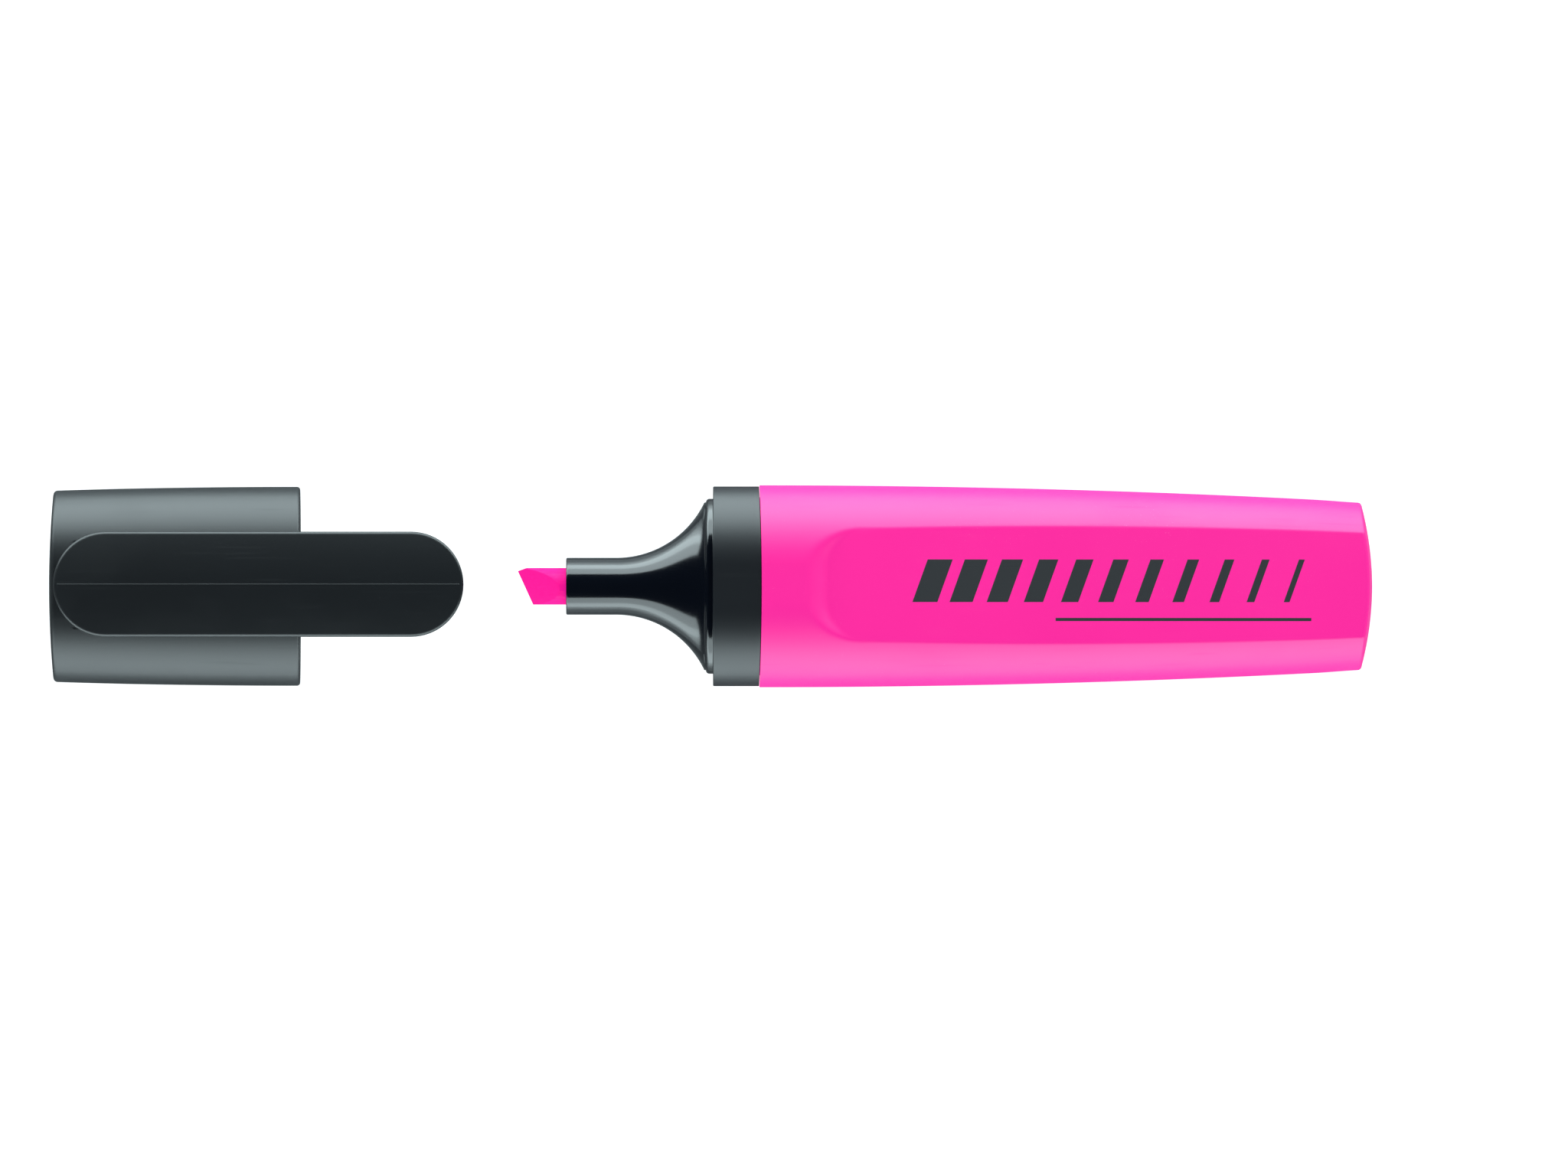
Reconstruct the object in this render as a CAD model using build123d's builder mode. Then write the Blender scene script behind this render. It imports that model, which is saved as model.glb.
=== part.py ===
from build123d import *
import math
import os

# Highlighter lying on its back, the cap pulled off along -X. Millimetres.
# +X runs to the barrel's rear, +Z is the side with the clip and the panel.

# Shared outline
half_length = 86.42
axis_z = 8.0
body_height = 16.0
side_ratio = 0.227
flat_ratio = 0.19
shell_wall = 1.5
level_cut = 0.02
tool_reach = 40.0

# Barrel
barrel_width = 26.4
barrel_front = 6.65
barrel_side_radius = 1400.0
barrel_top_radius = 3900.0
front_bow_radius = 256.0
joint_gap = 0.04
rear_dome_radius = 40.0
rear_wall = 1.8
barrel_edge = 0.35
panel_start = 14.5
panel_corner = 4.4
panel_half_front = 7.2
panel_half_rear = 6.8
panel_half_reach = 9.2
panel_clear = 3.0
panel_draft = 35.0
panel_floor = 1.3
rib_thickness = 1.2
rib_spacing = 4.0

# Front section
neck_radius = 3.73
neck_front = -18.88
neck_edge = 0.15
flare_start = -12.32
flare_step = 0.03
flare_squash = 0.01
flare_radius = 12.75
flare_half_width = 10.94
flare_half_height = 5.94
flare_inset = 0.5
flare_side = 3.4
rim_front = -0.62
rim_width = 22.88
rim_height = 12.88
rim_round = 0.45
collar_front = 0.31
collar_width = 26.1
collar_height = 15.8
collar_edge = 0.15
plug_end = 13.0
plug_gap = 0.05
plug_wall = 1.4
throat_front = -4.5
throat_rear = 1.0
throat_width = 8.6
throat_height = 5.6
tube_radius = 3.4
tube_end = 6.0
web_thickness = 1.2
vent_radius = 0.4
vent_count = 4
vent_end = -4.0

# Nib
nib_radius = 2.4
nib_gap = 0.03
nib_tail = 17.5
tail_chamfer = 0.7
chisel_top = (-25.22, 2.05)
chisel_bottom = (-23.28, -2.2)
chisel_angle = 29.5
chisel_half_edge = 0.14
corner_front = (-25.19, 1.97)
corner_rear = (-24.05, 2.38)

# Reservoir
core_width = 16.0
core_low = 2.5
core_high = 12.3
core_side = 4.5
core_flat = 4.0
core_front = 13.1
core_rear = 80.0
film_thickness = 0.2
film_gap = 0.02
support_gap = 0.05

# Cap
cap_mouth = -53.62
cap_width = 26.0
cap_side_radius = 1080.0
cap_top_radius = 2150.0
cap_dome_radius = 130.0
cap_end_wall = 1.8
cap_edge = 0.5
mouth_edge = 0.4
seat_gap = 0.06

# Inner cap
liner_mouth = -67.6
liner_radius = 4.85
liner_gap = 0.04
liner_floor = 1.0
liner_lead = 0.35
socket_front = -75.0
socket_wall = 1.15

# Clip
clip_rear = -85.7
clip_tip = -32.2
clip_half_width = 6.85
clip_low = 17.3
clip_high = 19.55
clip_crown_radius = 38.0
clip_edge = 0.35
line_radius = 0.3
line_height = 0.07
hinge_x = -79.6
hinge_z = 15.35
heel_radius = 1.55
heel_gap = 0.05
heel_length = 9.0
heel_stem = 2.0
pocket_length = 9.2
boss_length = 7.0
boss_width = 11.6
boss_low = 13.0
bump_x = -38.5
bump_radius = 5.0
bump_low = 16.4


def stations(start, end, count):
    """Evenly spaced stations along the long axis."""
    return [start + (end - start) * step / (count - 1) for step in range(count)]


def crown_radius(width, height, side, flat):
    """Radius of the arc that runs from the flat strip to the side arc, tangent to both."""
    reach = (width - flat) / 2 - side
    half = height / 2
    return (reach**2 + half**2 - side**2) / (2 * (half - side))


def oval(x, width, low, high, side, flat):
    """Rounded oval across the long axis: flat strips, crown arcs and side arcs, all tangent."""
    half = (high - low) / 2
    middle = (high + low) / 2
    reach = (width - flat) / 2 - side
    lean = math.atan2(reach, crown_radius(width, high - low, side, flat) - half)
    joint_y = width / 2 - side + side * math.sin(lean)
    joint_z = side * math.cos(lean)
    with BuildSketch(Plane.YZ.offset(x)) as section:
        with BuildLine():
            if flat:
                Line((-flat / 2, low), (flat / 2, low))
                Line((flat / 2, high), (-flat / 2, high))
            TangentArc((flat / 2, low), (joint_y, middle - joint_z), tangent=(1, 0))
            ThreePointArc(
                (joint_y, middle - joint_z),
                (width / 2, middle),
                (joint_y, middle + joint_z),
            )
            TangentArc((flat / 2, high), (joint_y, middle + joint_z), tangent=(1, 0))
            TangentArc((-flat / 2, high), (-joint_y, middle + joint_z), tangent=(-1, 0))
            ThreePointArc(
                (-joint_y, middle + joint_z),
                (-width / 2, middle),
                (-joint_y, middle - joint_z),
            )
            TangentArc((-flat / 2, low), (-joint_y, middle - joint_z), tangent=(-1, 0))
        make_face()
    return section.sketch


def body_oval(x, width, low, high, inset=0.0):
    """Oval of the pen's own proportions, drawn inside the outline by an inset."""
    side = width * side_ratio - inset
    return oval(x, width - 2 * inset, low, high, side, width * flat_ratio)


def oval_bar(section, length):
    """Bar of constant section that runs along the long axis."""
    with BuildPart() as bar:
        extrude(section, amount=length, dir=(1, 0, 0))
    return bar.part


def round_bar(start, end, radius):
    """Round bar on the pen's axis."""
    with BuildPart() as bar:
        with BuildSketch(Plane.YZ.offset(start)):
            with Locations((0, axis_z)):
                Circle(radius)
        extrude(amount=end - start)
    return bar.part


def barrel_size(x):
    """Width and top height of the barrel at a station."""
    travel = max(x - barrel_front, 0.0)
    width = barrel_width - travel**2 / barrel_side_radius
    return width, body_height - travel**2 / (2 * barrel_top_radius)


def crown_height(x, y):
    """Height of the barrel's top at a distance from its middle."""
    width, top = barrel_size(x)
    flat = width * flat_ratio
    radius = crown_radius(width, top, width * side_ratio, flat)
    return top - radius + math.sqrt(radius**2 - (y - flat / 2) ** 2)


panel_front_z = crown_height(panel_start, panel_half_front)
panel_rear_z = crown_height(half_length, panel_half_rear)
panel_slope = (panel_rear_z - panel_front_z) / (half_length - panel_start)


def panel_height(x):
    """Height of the flat panel at a station."""
    return panel_front_z + panel_slope * (x - panel_start)


def cap_size(x):
    """Width and top height of the cap at a station."""
    travel = x - cap_mouth
    width = cap_width - travel**2 / cap_side_radius
    return width, body_height - travel**2 / (2 * cap_top_radius)


def make_rear_tool():
    """Everything outside the barrel's domed rear end."""
    with BuildPart() as tool:
        with Locations((half_length, 0, axis_z)):
            Box(tool_reach / 2, tool_reach, tool_reach)
        with Locations((half_length - rear_dome_radius, 0, axis_z)):
            Sphere(rear_dome_radius, mode=Mode.SUBTRACT)
    return tool.part


def make_panel_tool():
    """What the flat panel removes: a rounded front end, walls that lean outwards."""
    slope = math.degrees(math.atan(panel_slope))
    plane = Plane((panel_start, 0, panel_front_z)).rotated((0, -slope, 0))
    with BuildPart() as tool:
        with BuildSketch(plane) as outline:
            with BuildLine():
                Polyline(
                    (0, panel_half_front),
                    (2 * tool_reach, panel_half_reach),
                    (2 * tool_reach, -panel_half_reach),
                    (0, -panel_half_front),
                    close=True,
                )
            make_face()
            fillet(outline.vertices().group_by(Axis.X)[0], panel_corner)
        extrude(amount=panel_clear, taper=-panel_draft)
    return tool.part


def make_side_ribs():
    """Four ribs above and below the reservoir and two beside it."""
    front = plug_end + 1
    low = core_low - film_thickness - support_gap
    high = core_high + film_thickness + support_gap
    beside = core_width / 2 + film_thickness + support_gap
    front_side = (barrel_size(front)[0] - shell_wall) / 2
    rear_side = (barrel_size(core_rear)[0] - shell_wall) / 2
    with BuildPart() as ribs:
        for y in (-rib_spacing, rib_spacing):
            with BuildSketch(Plane.XZ.offset(-y)):
                with BuildLine():
                    Polyline(
                        (front, low),
                        (core_rear, low),
                        (core_rear, shell_wall / 2),
                        (front, shell_wall / 2),
                        close=True,
                    )
                make_face()
                with BuildLine():
                    Polyline(
                        (front, high),
                        (core_rear, high),
                        (core_rear, panel_height(core_rear) - panel_floor / 2),
                        (front, panel_height(front) - panel_floor / 2),
                        close=True,
                    )
                make_face()
            extrude(amount=rib_thickness / 2, both=True)
        for side in (-1, 1):
            with BuildSketch(Plane.XY.offset((core_low + core_high) / 2)):
                with BuildLine():
                    Polyline(
                        (front, side * beside),
                        (core_rear, side * beside),
                        (core_rear, side * rear_side),
                        (front, side * front_side),
                        close=True,
                    )
                make_face()
            extrude(amount=rib_thickness / 2, both=True)
    return ribs.part


def make_barrel_shell():
    """Oval barrel with a closed rear end, a flat panel and ribs that hold the reservoir."""
    outer = []
    inner = []
    for x in stations(barrel_front - 1, half_length + 1, 6):
        width, top = barrel_size(x)
        outer.append(body_oval(x, width, -level_cut, top))
    for x in stations(barrel_front - 2, half_length - rear_wall, 6):
        width, top = barrel_size(x)
        inner.append(body_oval(x, width, shell_wall, panel_height(x) - panel_floor, shell_wall))
    rear_tool = make_rear_tool()
    panel_tool = make_panel_tool()
    ribs = make_side_ribs()
    end_rib_x = (core_rear + half_length - rear_wall / 2) / 2
    end_rib_length = half_length - rear_wall / 2 - core_rear - support_gap

    with BuildPart() as shell:
        loft(outer)
        split(bisect_by=Plane.XY, keep=Keep.TOP)
        add(rear_tool, mode=Mode.SUBTRACT)
        fillet(shell.edges().filter_by_position(Axis.X, half_length - 3, half_length), barrel_edge)
        with Locations((barrel_front - front_bow_radius, 0, axis_z)):
            Cylinder(front_bow_radius + joint_gap, tool_reach, mode=Mode.SUBTRACT)
        add(panel_tool, mode=Mode.SUBTRACT)
        loft(inner, mode=Mode.SUBTRACT)
        add(ribs)
        for y in (-rib_spacing, rib_spacing):
            with Locations((end_rib_x, y, (core_low + core_high) / 2)):
                Box(end_rib_length, rib_thickness, core_high - core_low)
    return shell


def make_front_section():
    """Neck, flared shoulder, cap seat, collar and the plug that fits the barrel."""
    rim_side = cap_width * side_ratio - shell_wall - seat_gap
    rim_flat = cap_width * flat_ratio
    flare_neck = neck_radius + flare_step
    full_rise = flare_half_width - flare_neck
    full_turn = math.acos(1 - full_rise / flare_radius)
    flare_end = flare_start + flare_radius * math.sin(full_turn)
    flare = []
    for turn in stations(0, full_turn, 8):
        share = flare_radius * (1 - math.cos(turn)) / full_rise
        half_width = flare_neck + full_rise * share
        half_height = flare_neck - flare_squash + (flare_half_height - flare_neck) * share
        side = flare_side + (rim_side - flare_inset - flare_side) * share
        x = flare_start + flare_radius * math.sin(turn)
        low = axis_z - half_height
        flare.append(oval(x, 2 * half_width, low, axis_z + half_height, side, 0))
    rim = oval(
        rim_front,
        rim_width,
        axis_z - rim_height / 2,
        axis_z + rim_height / 2,
        rim_side,
        rim_flat,
    )
    collar_low = axis_z - collar_height / 2
    collar = body_oval(collar_front, collar_width, collar_low, collar_low + collar_height)
    plug_inset = shell_wall + plug_gap
    plug_high = panel_front_z - panel_floor - plug_gap
    plug = body_oval(collar_front, barrel_width, plug_inset, plug_high, plug_inset)
    hollow_inset = plug_inset + plug_wall
    hollow_high = plug_high - plug_wall
    hollow = body_oval(throat_rear, barrel_width, hollow_inset, hollow_high, hollow_inset)
    throat = oval(
        throat_front,
        throat_width,
        axis_z - throat_height / 2,
        axis_z + throat_height / 2,
        throat_height * 0.35,
        throat_width * flat_ratio,
    )

    with BuildPart() as rim_block:
        extrude(rim, amount=collar_front - rim_front + flare_inset, dir=(1, 0, 0))
        fillet(rim_block.faces().sort_by(Axis.X)[0].edges(), rim_round)
    with BuildPart() as collar_block:
        extrude(collar, amount=barrel_front - collar_front + 1, dir=(1, 0, 0))
        with Locations((barrel_front - front_bow_radius, 0, axis_z)):
            Cylinder(front_bow_radius, tool_reach, mode=Mode.INTERSECT)
        fillet(collar_block.faces().sort_by(Axis.X)[0].edges(), collar_edge)

    with BuildPart() as section:
        add(round_bar(neck_front, flare_start + 1, neck_radius))
        chamfer(section.edges().group_by(Axis.X)[0], neck_edge)
        loft(flare)
        extrude(flare[-1], amount=rim_front - flare_end + flare_inset, dir=(1, 0, 0))
        add(rim_block.part)
        add(collar_block.part)
        add(oval_bar(plug, plug_end - collar_front))
        # hollow behind the shoulder, with the nib's tube and cross webs left in it
        loft([throat, hollow], mode=Mode.SUBTRACT)
        add(oval_bar(hollow, plug_end - throat_rear), mode=Mode.SUBTRACT)
        add(round_bar(throat_front, tube_end, tube_radius))
        with Locations(((throat_rear + plug_end) / 2, 0, axis_z)):
            Box(plug_end - throat_rear, barrel_width - 2 * hollow_inset, web_thickness)
        with Locations(((throat_rear + plug_end) / 2, 0, (hollow_inset + hollow_high) / 2)):
            Box(plug_end - throat_rear, web_thickness, hollow_high - hollow_inset)
        # bore for the nib, with air grooves beside it
        add(round_bar(neck_front, plug_end, nib_radius + nib_gap), mode=Mode.SUBTRACT)
        with BuildSketch(Plane.YZ.offset(neck_front)):
            with Locations((0, axis_z)):
                with PolarLocations(nib_radius + nib_gap, vent_count, start_angle=45):
                    Circle(vent_radius)
        extrude(amount=vent_end - neck_front, mode=Mode.SUBTRACT)
    return section


def chisel_frame():
    """Direction of the slanted writing edge, and the way back along the nib from it."""
    along = Vector(chisel_bottom[0] - chisel_top[0], chisel_bottom[1] - chisel_top[1], 0)
    along = along.normalized()
    return along, Vector(-along.Y, along.X, 0)


def make_nib():
    """Round fibre rod, cut to a slanted chisel at the front and chamfered at the tail."""
    along, back = chisel_frame()
    middle_x = (chisel_top[0] + chisel_bottom[0]) / 2
    middle_y = (chisel_top[1] + chisel_bottom[1]) / 2
    lean = math.radians(chisel_angle)
    front = Plane((middle_x, middle_y, axis_z), x_dir=along, z_dir=back * -1)
    rise = Vector(corner_rear[0] - corner_front[0], corner_rear[1] - corner_front[1], 0)
    corner = Plane((*corner_front, axis_z), x_dir=rise, z_dir=Vector(-rise.Y, rise.X, 0))

    with BuildPart() as nib:
        add(round_bar(chisel_top[0] - 1, nib_tail, nib_radius))
        chamfer(nib.edges().group_by(Axis.X)[-1], tail_chamfer)
        with Locations(front, corner):
            Box(
                tool_reach,
                tool_reach,
                tool_reach,
                align=(Align.CENTER, Align.CENTER, Align.MIN),
                mode=Mode.SUBTRACT,
            )
        for side in (-1, 1):
            normal = back * -math.sin(lean) + Vector(0, 0, side * math.cos(lean))
            edge_z = axis_z + side * chisel_half_edge
            with Locations(Plane((middle_x, middle_y, edge_z), x_dir=along, z_dir=normal)):
                Box(
                    tool_reach,
                    tool_reach,
                    tool_reach,
                    align=(Align.CENTER, Align.CENTER, Align.MIN),
                    mode=Mode.SUBTRACT,
                )
    return nib


def reservoir_oval(x, offset):
    """Section of the reservoir, larger than the fibre by an offset all round."""
    return oval(
        x,
        core_width + 2 * offset,
        core_low - offset,
        core_high + offset,
        core_side + offset,
        core_flat,
    )


def make_reservoir_core():
    """Fibre rod that holds the ink, with a hole for the nib's tail."""
    with BuildPart() as core:
        extrude(reservoir_oval(core_front, 0), amount=core_rear - core_front, dir=(1, 0, 0))
        add(round_bar(core_front, nib_tail + nib_gap, nib_radius + nib_gap), mode=Mode.SUBTRACT)
    return core


def make_reservoir_film():
    """Film tube round the fibre."""
    length = core_rear - core_front
    with BuildPart() as film:
        extrude(reservoir_oval(core_front, film_thickness), amount=length, dir=(1, 0, 0))
        add(oval_bar(reservoir_oval(core_front, film_gap), length), mode=Mode.SUBTRACT)
    return film


def make_cap_shell():
    """Hollow oval cap, its closed end slightly domed, with seats for inner cap and clip."""
    outer = []
    inner = []
    for x in stations(cap_mouth, -half_length - 1, 5):
        width, top = cap_size(x)
        outer.append(body_oval(x, width, -level_cut, top))
    for x in stations(cap_mouth + 0.5, -half_length + cap_end_wall, 5):
        width, top = cap_size(x)
        inner.append(body_oval(x, width, shell_wall, top - shell_wall, shell_wall))
    end_x = -half_length + cap_end_wall / 2
    socket_inner = liner_radius + liner_gap

    with BuildPart() as shell:
        loft(outer)
        split(bisect_by=Plane.XY, keep=Keep.TOP)
        with Locations((-half_length + cap_dome_radius, 0, axis_z)):
            Sphere(cap_dome_radius, mode=Mode.INTERSECT)
        fillet(shell.edges().filter_by_position(Axis.X, -half_length, -half_length + 3), cap_edge)
        loft(inner, mode=Mode.SUBTRACT)
        fillet(shell.faces().sort_by(Axis.X)[-1].outer_wire().edges(), mouth_edge)
        # socket for the inner cap
        add(round_bar(end_x, socket_front, socket_inner + socket_wall))
        # boss and snap pocket for the clip's heel
        with Locations((hinge_x, 0, (boss_low + hinge_z) / 2)):
            Box(boss_length, boss_width, hinge_z - boss_low)
        add(round_bar(end_x + cap_end_wall / 2, socket_front, socket_inner), mode=Mode.SUBTRACT)
        with Locations((hinge_x, 0, hinge_z)):
            Cylinder(
                heel_radius + heel_gap,
                pocket_length,
                rotation=(90, 0, 0),
                mode=Mode.SUBTRACT,
            )
    return shell


def make_cap_liner():
    """Inner cap: a round cup that closes over the neck."""
    bottom = -half_length + cap_end_wall + liner_gap
    with BuildPart() as liner:
        add(round_bar(bottom, liner_mouth, liner_radius))
        chamfer(liner.edges().group_by(Axis.X)[-1], liner_lead)
        bore = round_bar(bottom + liner_floor, liner_mouth, neck_radius + liner_gap)
        add(bore, mode=Mode.SUBTRACT)
        chamfer(liner.edges().group_by(Axis.X)[-1].sort_by(SortBy.RADIUS)[0], liner_lead)
    return liner


def make_cap_clip():
    """Long round-ended clip with a crowned top, a heel that snaps into the cap and a grip bump."""
    middle_x = (clip_rear + clip_tip) / 2
    side_high = clip_high - clip_crown_radius
    side_high += math.sqrt(clip_crown_radius**2 - clip_half_width**2)
    with BuildPart() as bump:
        with Locations((bump_x, 0, bump_low + bump_radius)):
            Sphere(bump_radius)
        split(bisect_by=Plane.XY.offset(clip_low + clip_edge), keep=Keep.BOTTOM)

    with BuildPart() as clip:
        with BuildSketch(Plane.YZ.offset(clip_rear)):
            with BuildLine():
                Polyline(
                    (-clip_half_width, side_high),
                    (-clip_half_width, clip_low),
                    (clip_half_width, clip_low),
                    (clip_half_width, side_high),
                )
                ThreePointArc(
                    (clip_half_width, side_high),
                    (0, clip_high),
                    (-clip_half_width, side_high),
                )
            make_face()
        extrude(amount=clip_tip - clip_rear)
        with BuildSketch(Plane.XY):
            with Locations((middle_x, 0)):
                SlotOverall(clip_tip - clip_rear, 2 * clip_half_width)
        extrude(amount=tool_reach, mode=Mode.INTERSECT)
        fillet(clip.faces().sort_by(Axis.Z)[-1].edges(), clip_edge)
        # fine raised line along the middle
        with Locations((middle_x, 0, clip_high + line_height - line_radius)):
            Cylinder(line_radius, clip_tip - clip_rear - 1, rotation=(0, 90, 0))
        # heel in the cap's pocket, and the grip bump
        with Locations((hinge_x, 0, hinge_z)):
            Cylinder(heel_radius, heel_length, rotation=(90, 0, 0))
        with Locations((hinge_x, 0, (hinge_z + clip_low + clip_edge) / 2)):
            Box(heel_stem, heel_length, clip_low + clip_edge - hinge_z)
        add(bump.part)
    return clip


pieces = {
    "barrel_shell": make_barrel_shell,
    "front_section": make_front_section,
    "nib": make_nib,
    "reservoir_core": make_reservoir_core,
    "reservoir_film": make_reservoir_film,
    "cap_shell": make_cap_shell,
    "cap_liner": make_cap_liner,
    "cap_clip": make_cap_clip,
}

os.makedirs("parts", exist_ok=True)
for label, make in pieces.items():
    piece = make()
    piece.part.label = label
    export_step(piece.part, f"parts/{label}.step")
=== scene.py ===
"""Looks of a highlighter lying with its cap off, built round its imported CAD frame."""

import logging
import math
from collections.abc import Sequence
from dataclasses import dataclass, field, fields, replace
from enum import Enum

import bmesh
import bpy
import numpy as np
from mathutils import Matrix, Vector


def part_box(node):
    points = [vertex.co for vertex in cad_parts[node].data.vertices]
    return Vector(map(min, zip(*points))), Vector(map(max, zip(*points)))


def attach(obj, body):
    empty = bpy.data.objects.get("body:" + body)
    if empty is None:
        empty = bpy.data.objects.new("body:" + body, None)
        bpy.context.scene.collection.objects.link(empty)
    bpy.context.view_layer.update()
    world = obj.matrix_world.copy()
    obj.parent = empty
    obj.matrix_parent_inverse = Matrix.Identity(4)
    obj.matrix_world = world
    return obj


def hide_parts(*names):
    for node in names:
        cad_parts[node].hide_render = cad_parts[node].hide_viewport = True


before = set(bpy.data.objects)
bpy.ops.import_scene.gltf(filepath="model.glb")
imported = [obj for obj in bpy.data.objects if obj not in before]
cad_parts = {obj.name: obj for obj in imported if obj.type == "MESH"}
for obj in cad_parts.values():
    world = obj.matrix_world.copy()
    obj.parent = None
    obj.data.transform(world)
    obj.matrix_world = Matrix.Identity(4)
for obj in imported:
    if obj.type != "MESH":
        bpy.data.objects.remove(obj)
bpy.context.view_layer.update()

LOG = logging.getLogger("highlighter")
MM = 0.001
HOLD = 0.1 * MM  # how close to an edge the ring that holds it crisp stands
BOW_RADIUS = 256 * MM  # bow of the seam between barrel and collar, seen from above
CLIP_HINGE = (-79.6 * MM, 15.35 * MM)  # station and height of the clip's axis
MERGE = 1e-7  # points nearer than this are one point
Colour = tuple[float, float, float]
Number = "Field | float"


class Body(Enum):
    """The rigid bodies that pieces ride on."""

    BARREL = "barrel"
    CAP = "cap"
    CLIP = "clip"


class Slot(Enum):
    """Names of the record's material slots."""

    BARREL = "pink_barrel"
    FRONT = "black_gloss"
    NIB = "nib_fibre"
    CAP = "black_cap"
    LINER = "liner_grey"
    CLIP = "black_clip"


class Ends(Enum):
    """What happens to the first and the last ring of a skin."""

    JOINED = "joined to each other"
    FILLED = "filled with a face each"
    BARE = "left as they are"


# ---------------------------------------------------------------- node helpers


class Field:
    """A number that varies over a surface, worked out by Math nodes.

    Args:
        tree: The node tree that the Math nodes go in.
        socket: The output socket that gives the number.
    """

    def __init__(self, tree: bpy.types.NodeTree, socket: bpy.types.NodeSocket) -> None:
        """Keep the tree and the socket."""
        self.tree = tree
        self.socket = socket

    def math(self, operation: str, *others: "Number") -> "Field":
        """Add one Math node.

        Args:
            operation: The node's operation, such as "MULTIPLY".
            others: The other operands, fields or plain numbers.

        Returns:
            The node's result.
        """
        node = self.tree.nodes.new("ShaderNodeMath")
        node.operation = operation
        for value, socket in zip((self, *others), node.inputs):
            feed(self.tree, value, socket)
        return Field(self.tree, node.outputs[0])

    def __add__(self, other: "Number") -> "Field":
        """Sum."""
        return self.math("ADD", other)

    def __sub__(self, other: "Number") -> "Field":
        """Difference."""
        return self.math("SUBTRACT", other)

    def __mul__(self, other: "Number") -> "Field":
        """Product."""
        return self.math("MULTIPLY", other)

    def __truediv__(self, other: "Number") -> "Field":
        """Quotient."""
        return self.math("DIVIDE", other)

    def positive(self) -> "Field":
        """The number, or 0 where it is negative."""
        return self.math("MAXIMUM", 0.0)

    def over(self, level: float, gain: float) -> "Field":
        """How far the number is over a level, times a gain."""
        return (self - level) * gain

    def clamped(self) -> "Field":
        """The number held between 0 and 1."""
        return self.positive().math("MINIMUM", 1.0)

    def eased(self) -> "Field":
        """The number held between 0 and 1, with a smooth start and finish."""
        share = self.clamped()
        return share * share * (share * -2.0 + 3.0)


def feed(tree: bpy.types.NodeTree, value: "Number", socket: bpy.types.NodeSocket) -> None:
    """Link a field to an input socket, or set a plain number on it.

    Args:
        tree: The node tree.
        value: The field or the number.
        socket: The input socket.
    """
    if isinstance(value, Field):
        tree.links.new(value.socket, socket)
    else:
        socket.default_value = value


def split_vector(tree: bpy.types.NodeTree, socket: bpy.types.NodeSocket) -> list[Field]:
    """Split a vector into its three numbers.

    Args:
        tree: The node tree.
        socket: A vector output.

    Returns:
        The x, y and z fields.
    """
    node = tree.nodes.new("ShaderNodeSeparateXYZ")
    tree.links.new(socket, node.inputs[0])
    return [Field(tree, output) for output in node.outputs]


def join_vector(tree: bpy.types.NodeTree, x: Field, y: Field, z: Field) -> bpy.types.NodeSocket:
    """Join three numbers into a vector.

    Args:
        tree: The node tree.
        x: First number.
        y: Second number.
        z: Third number.

    Returns:
        The vector output.
    """
    node = tree.nodes.new("ShaderNodeCombineXYZ")
    for value, socket in zip((x, y, z), node.inputs):
        feed(tree, value, socket)
    return node.outputs[0]


def noise(
    tree: bpy.types.NodeTree,
    vector: bpy.types.NodeSocket,
    scale: "Number",
    detail: float = 3.0,
    stretch: tuple[float, float, float] = (1.0, 1.0, 1.0),
) -> Field:
    """Add noise over stretched coordinates.

    Args:
        tree: The node tree.
        vector: The coordinates.
        scale: Noise cells per metre.
        detail: Octaves of finer noise.
        stretch: Factors on the coordinates.

    Returns:
        The noise, from 0 to 1.
    """
    mapping = tree.nodes.new("ShaderNodeMapping")
    mapping.inputs["Scale"].default_value = stretch
    tree.links.new(vector, mapping.inputs["Vector"])
    texture = tree.nodes.new("ShaderNodeTexNoise")
    texture.inputs["Detail"].default_value = detail
    tree.links.new(mapping.outputs[0], texture.inputs["Vector"])
    feed(tree, scale, texture.inputs["Scale"])
    return Field(tree, texture.outputs["Fac"])


# ---------------------------------------------------------------- sections and meshes


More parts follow.
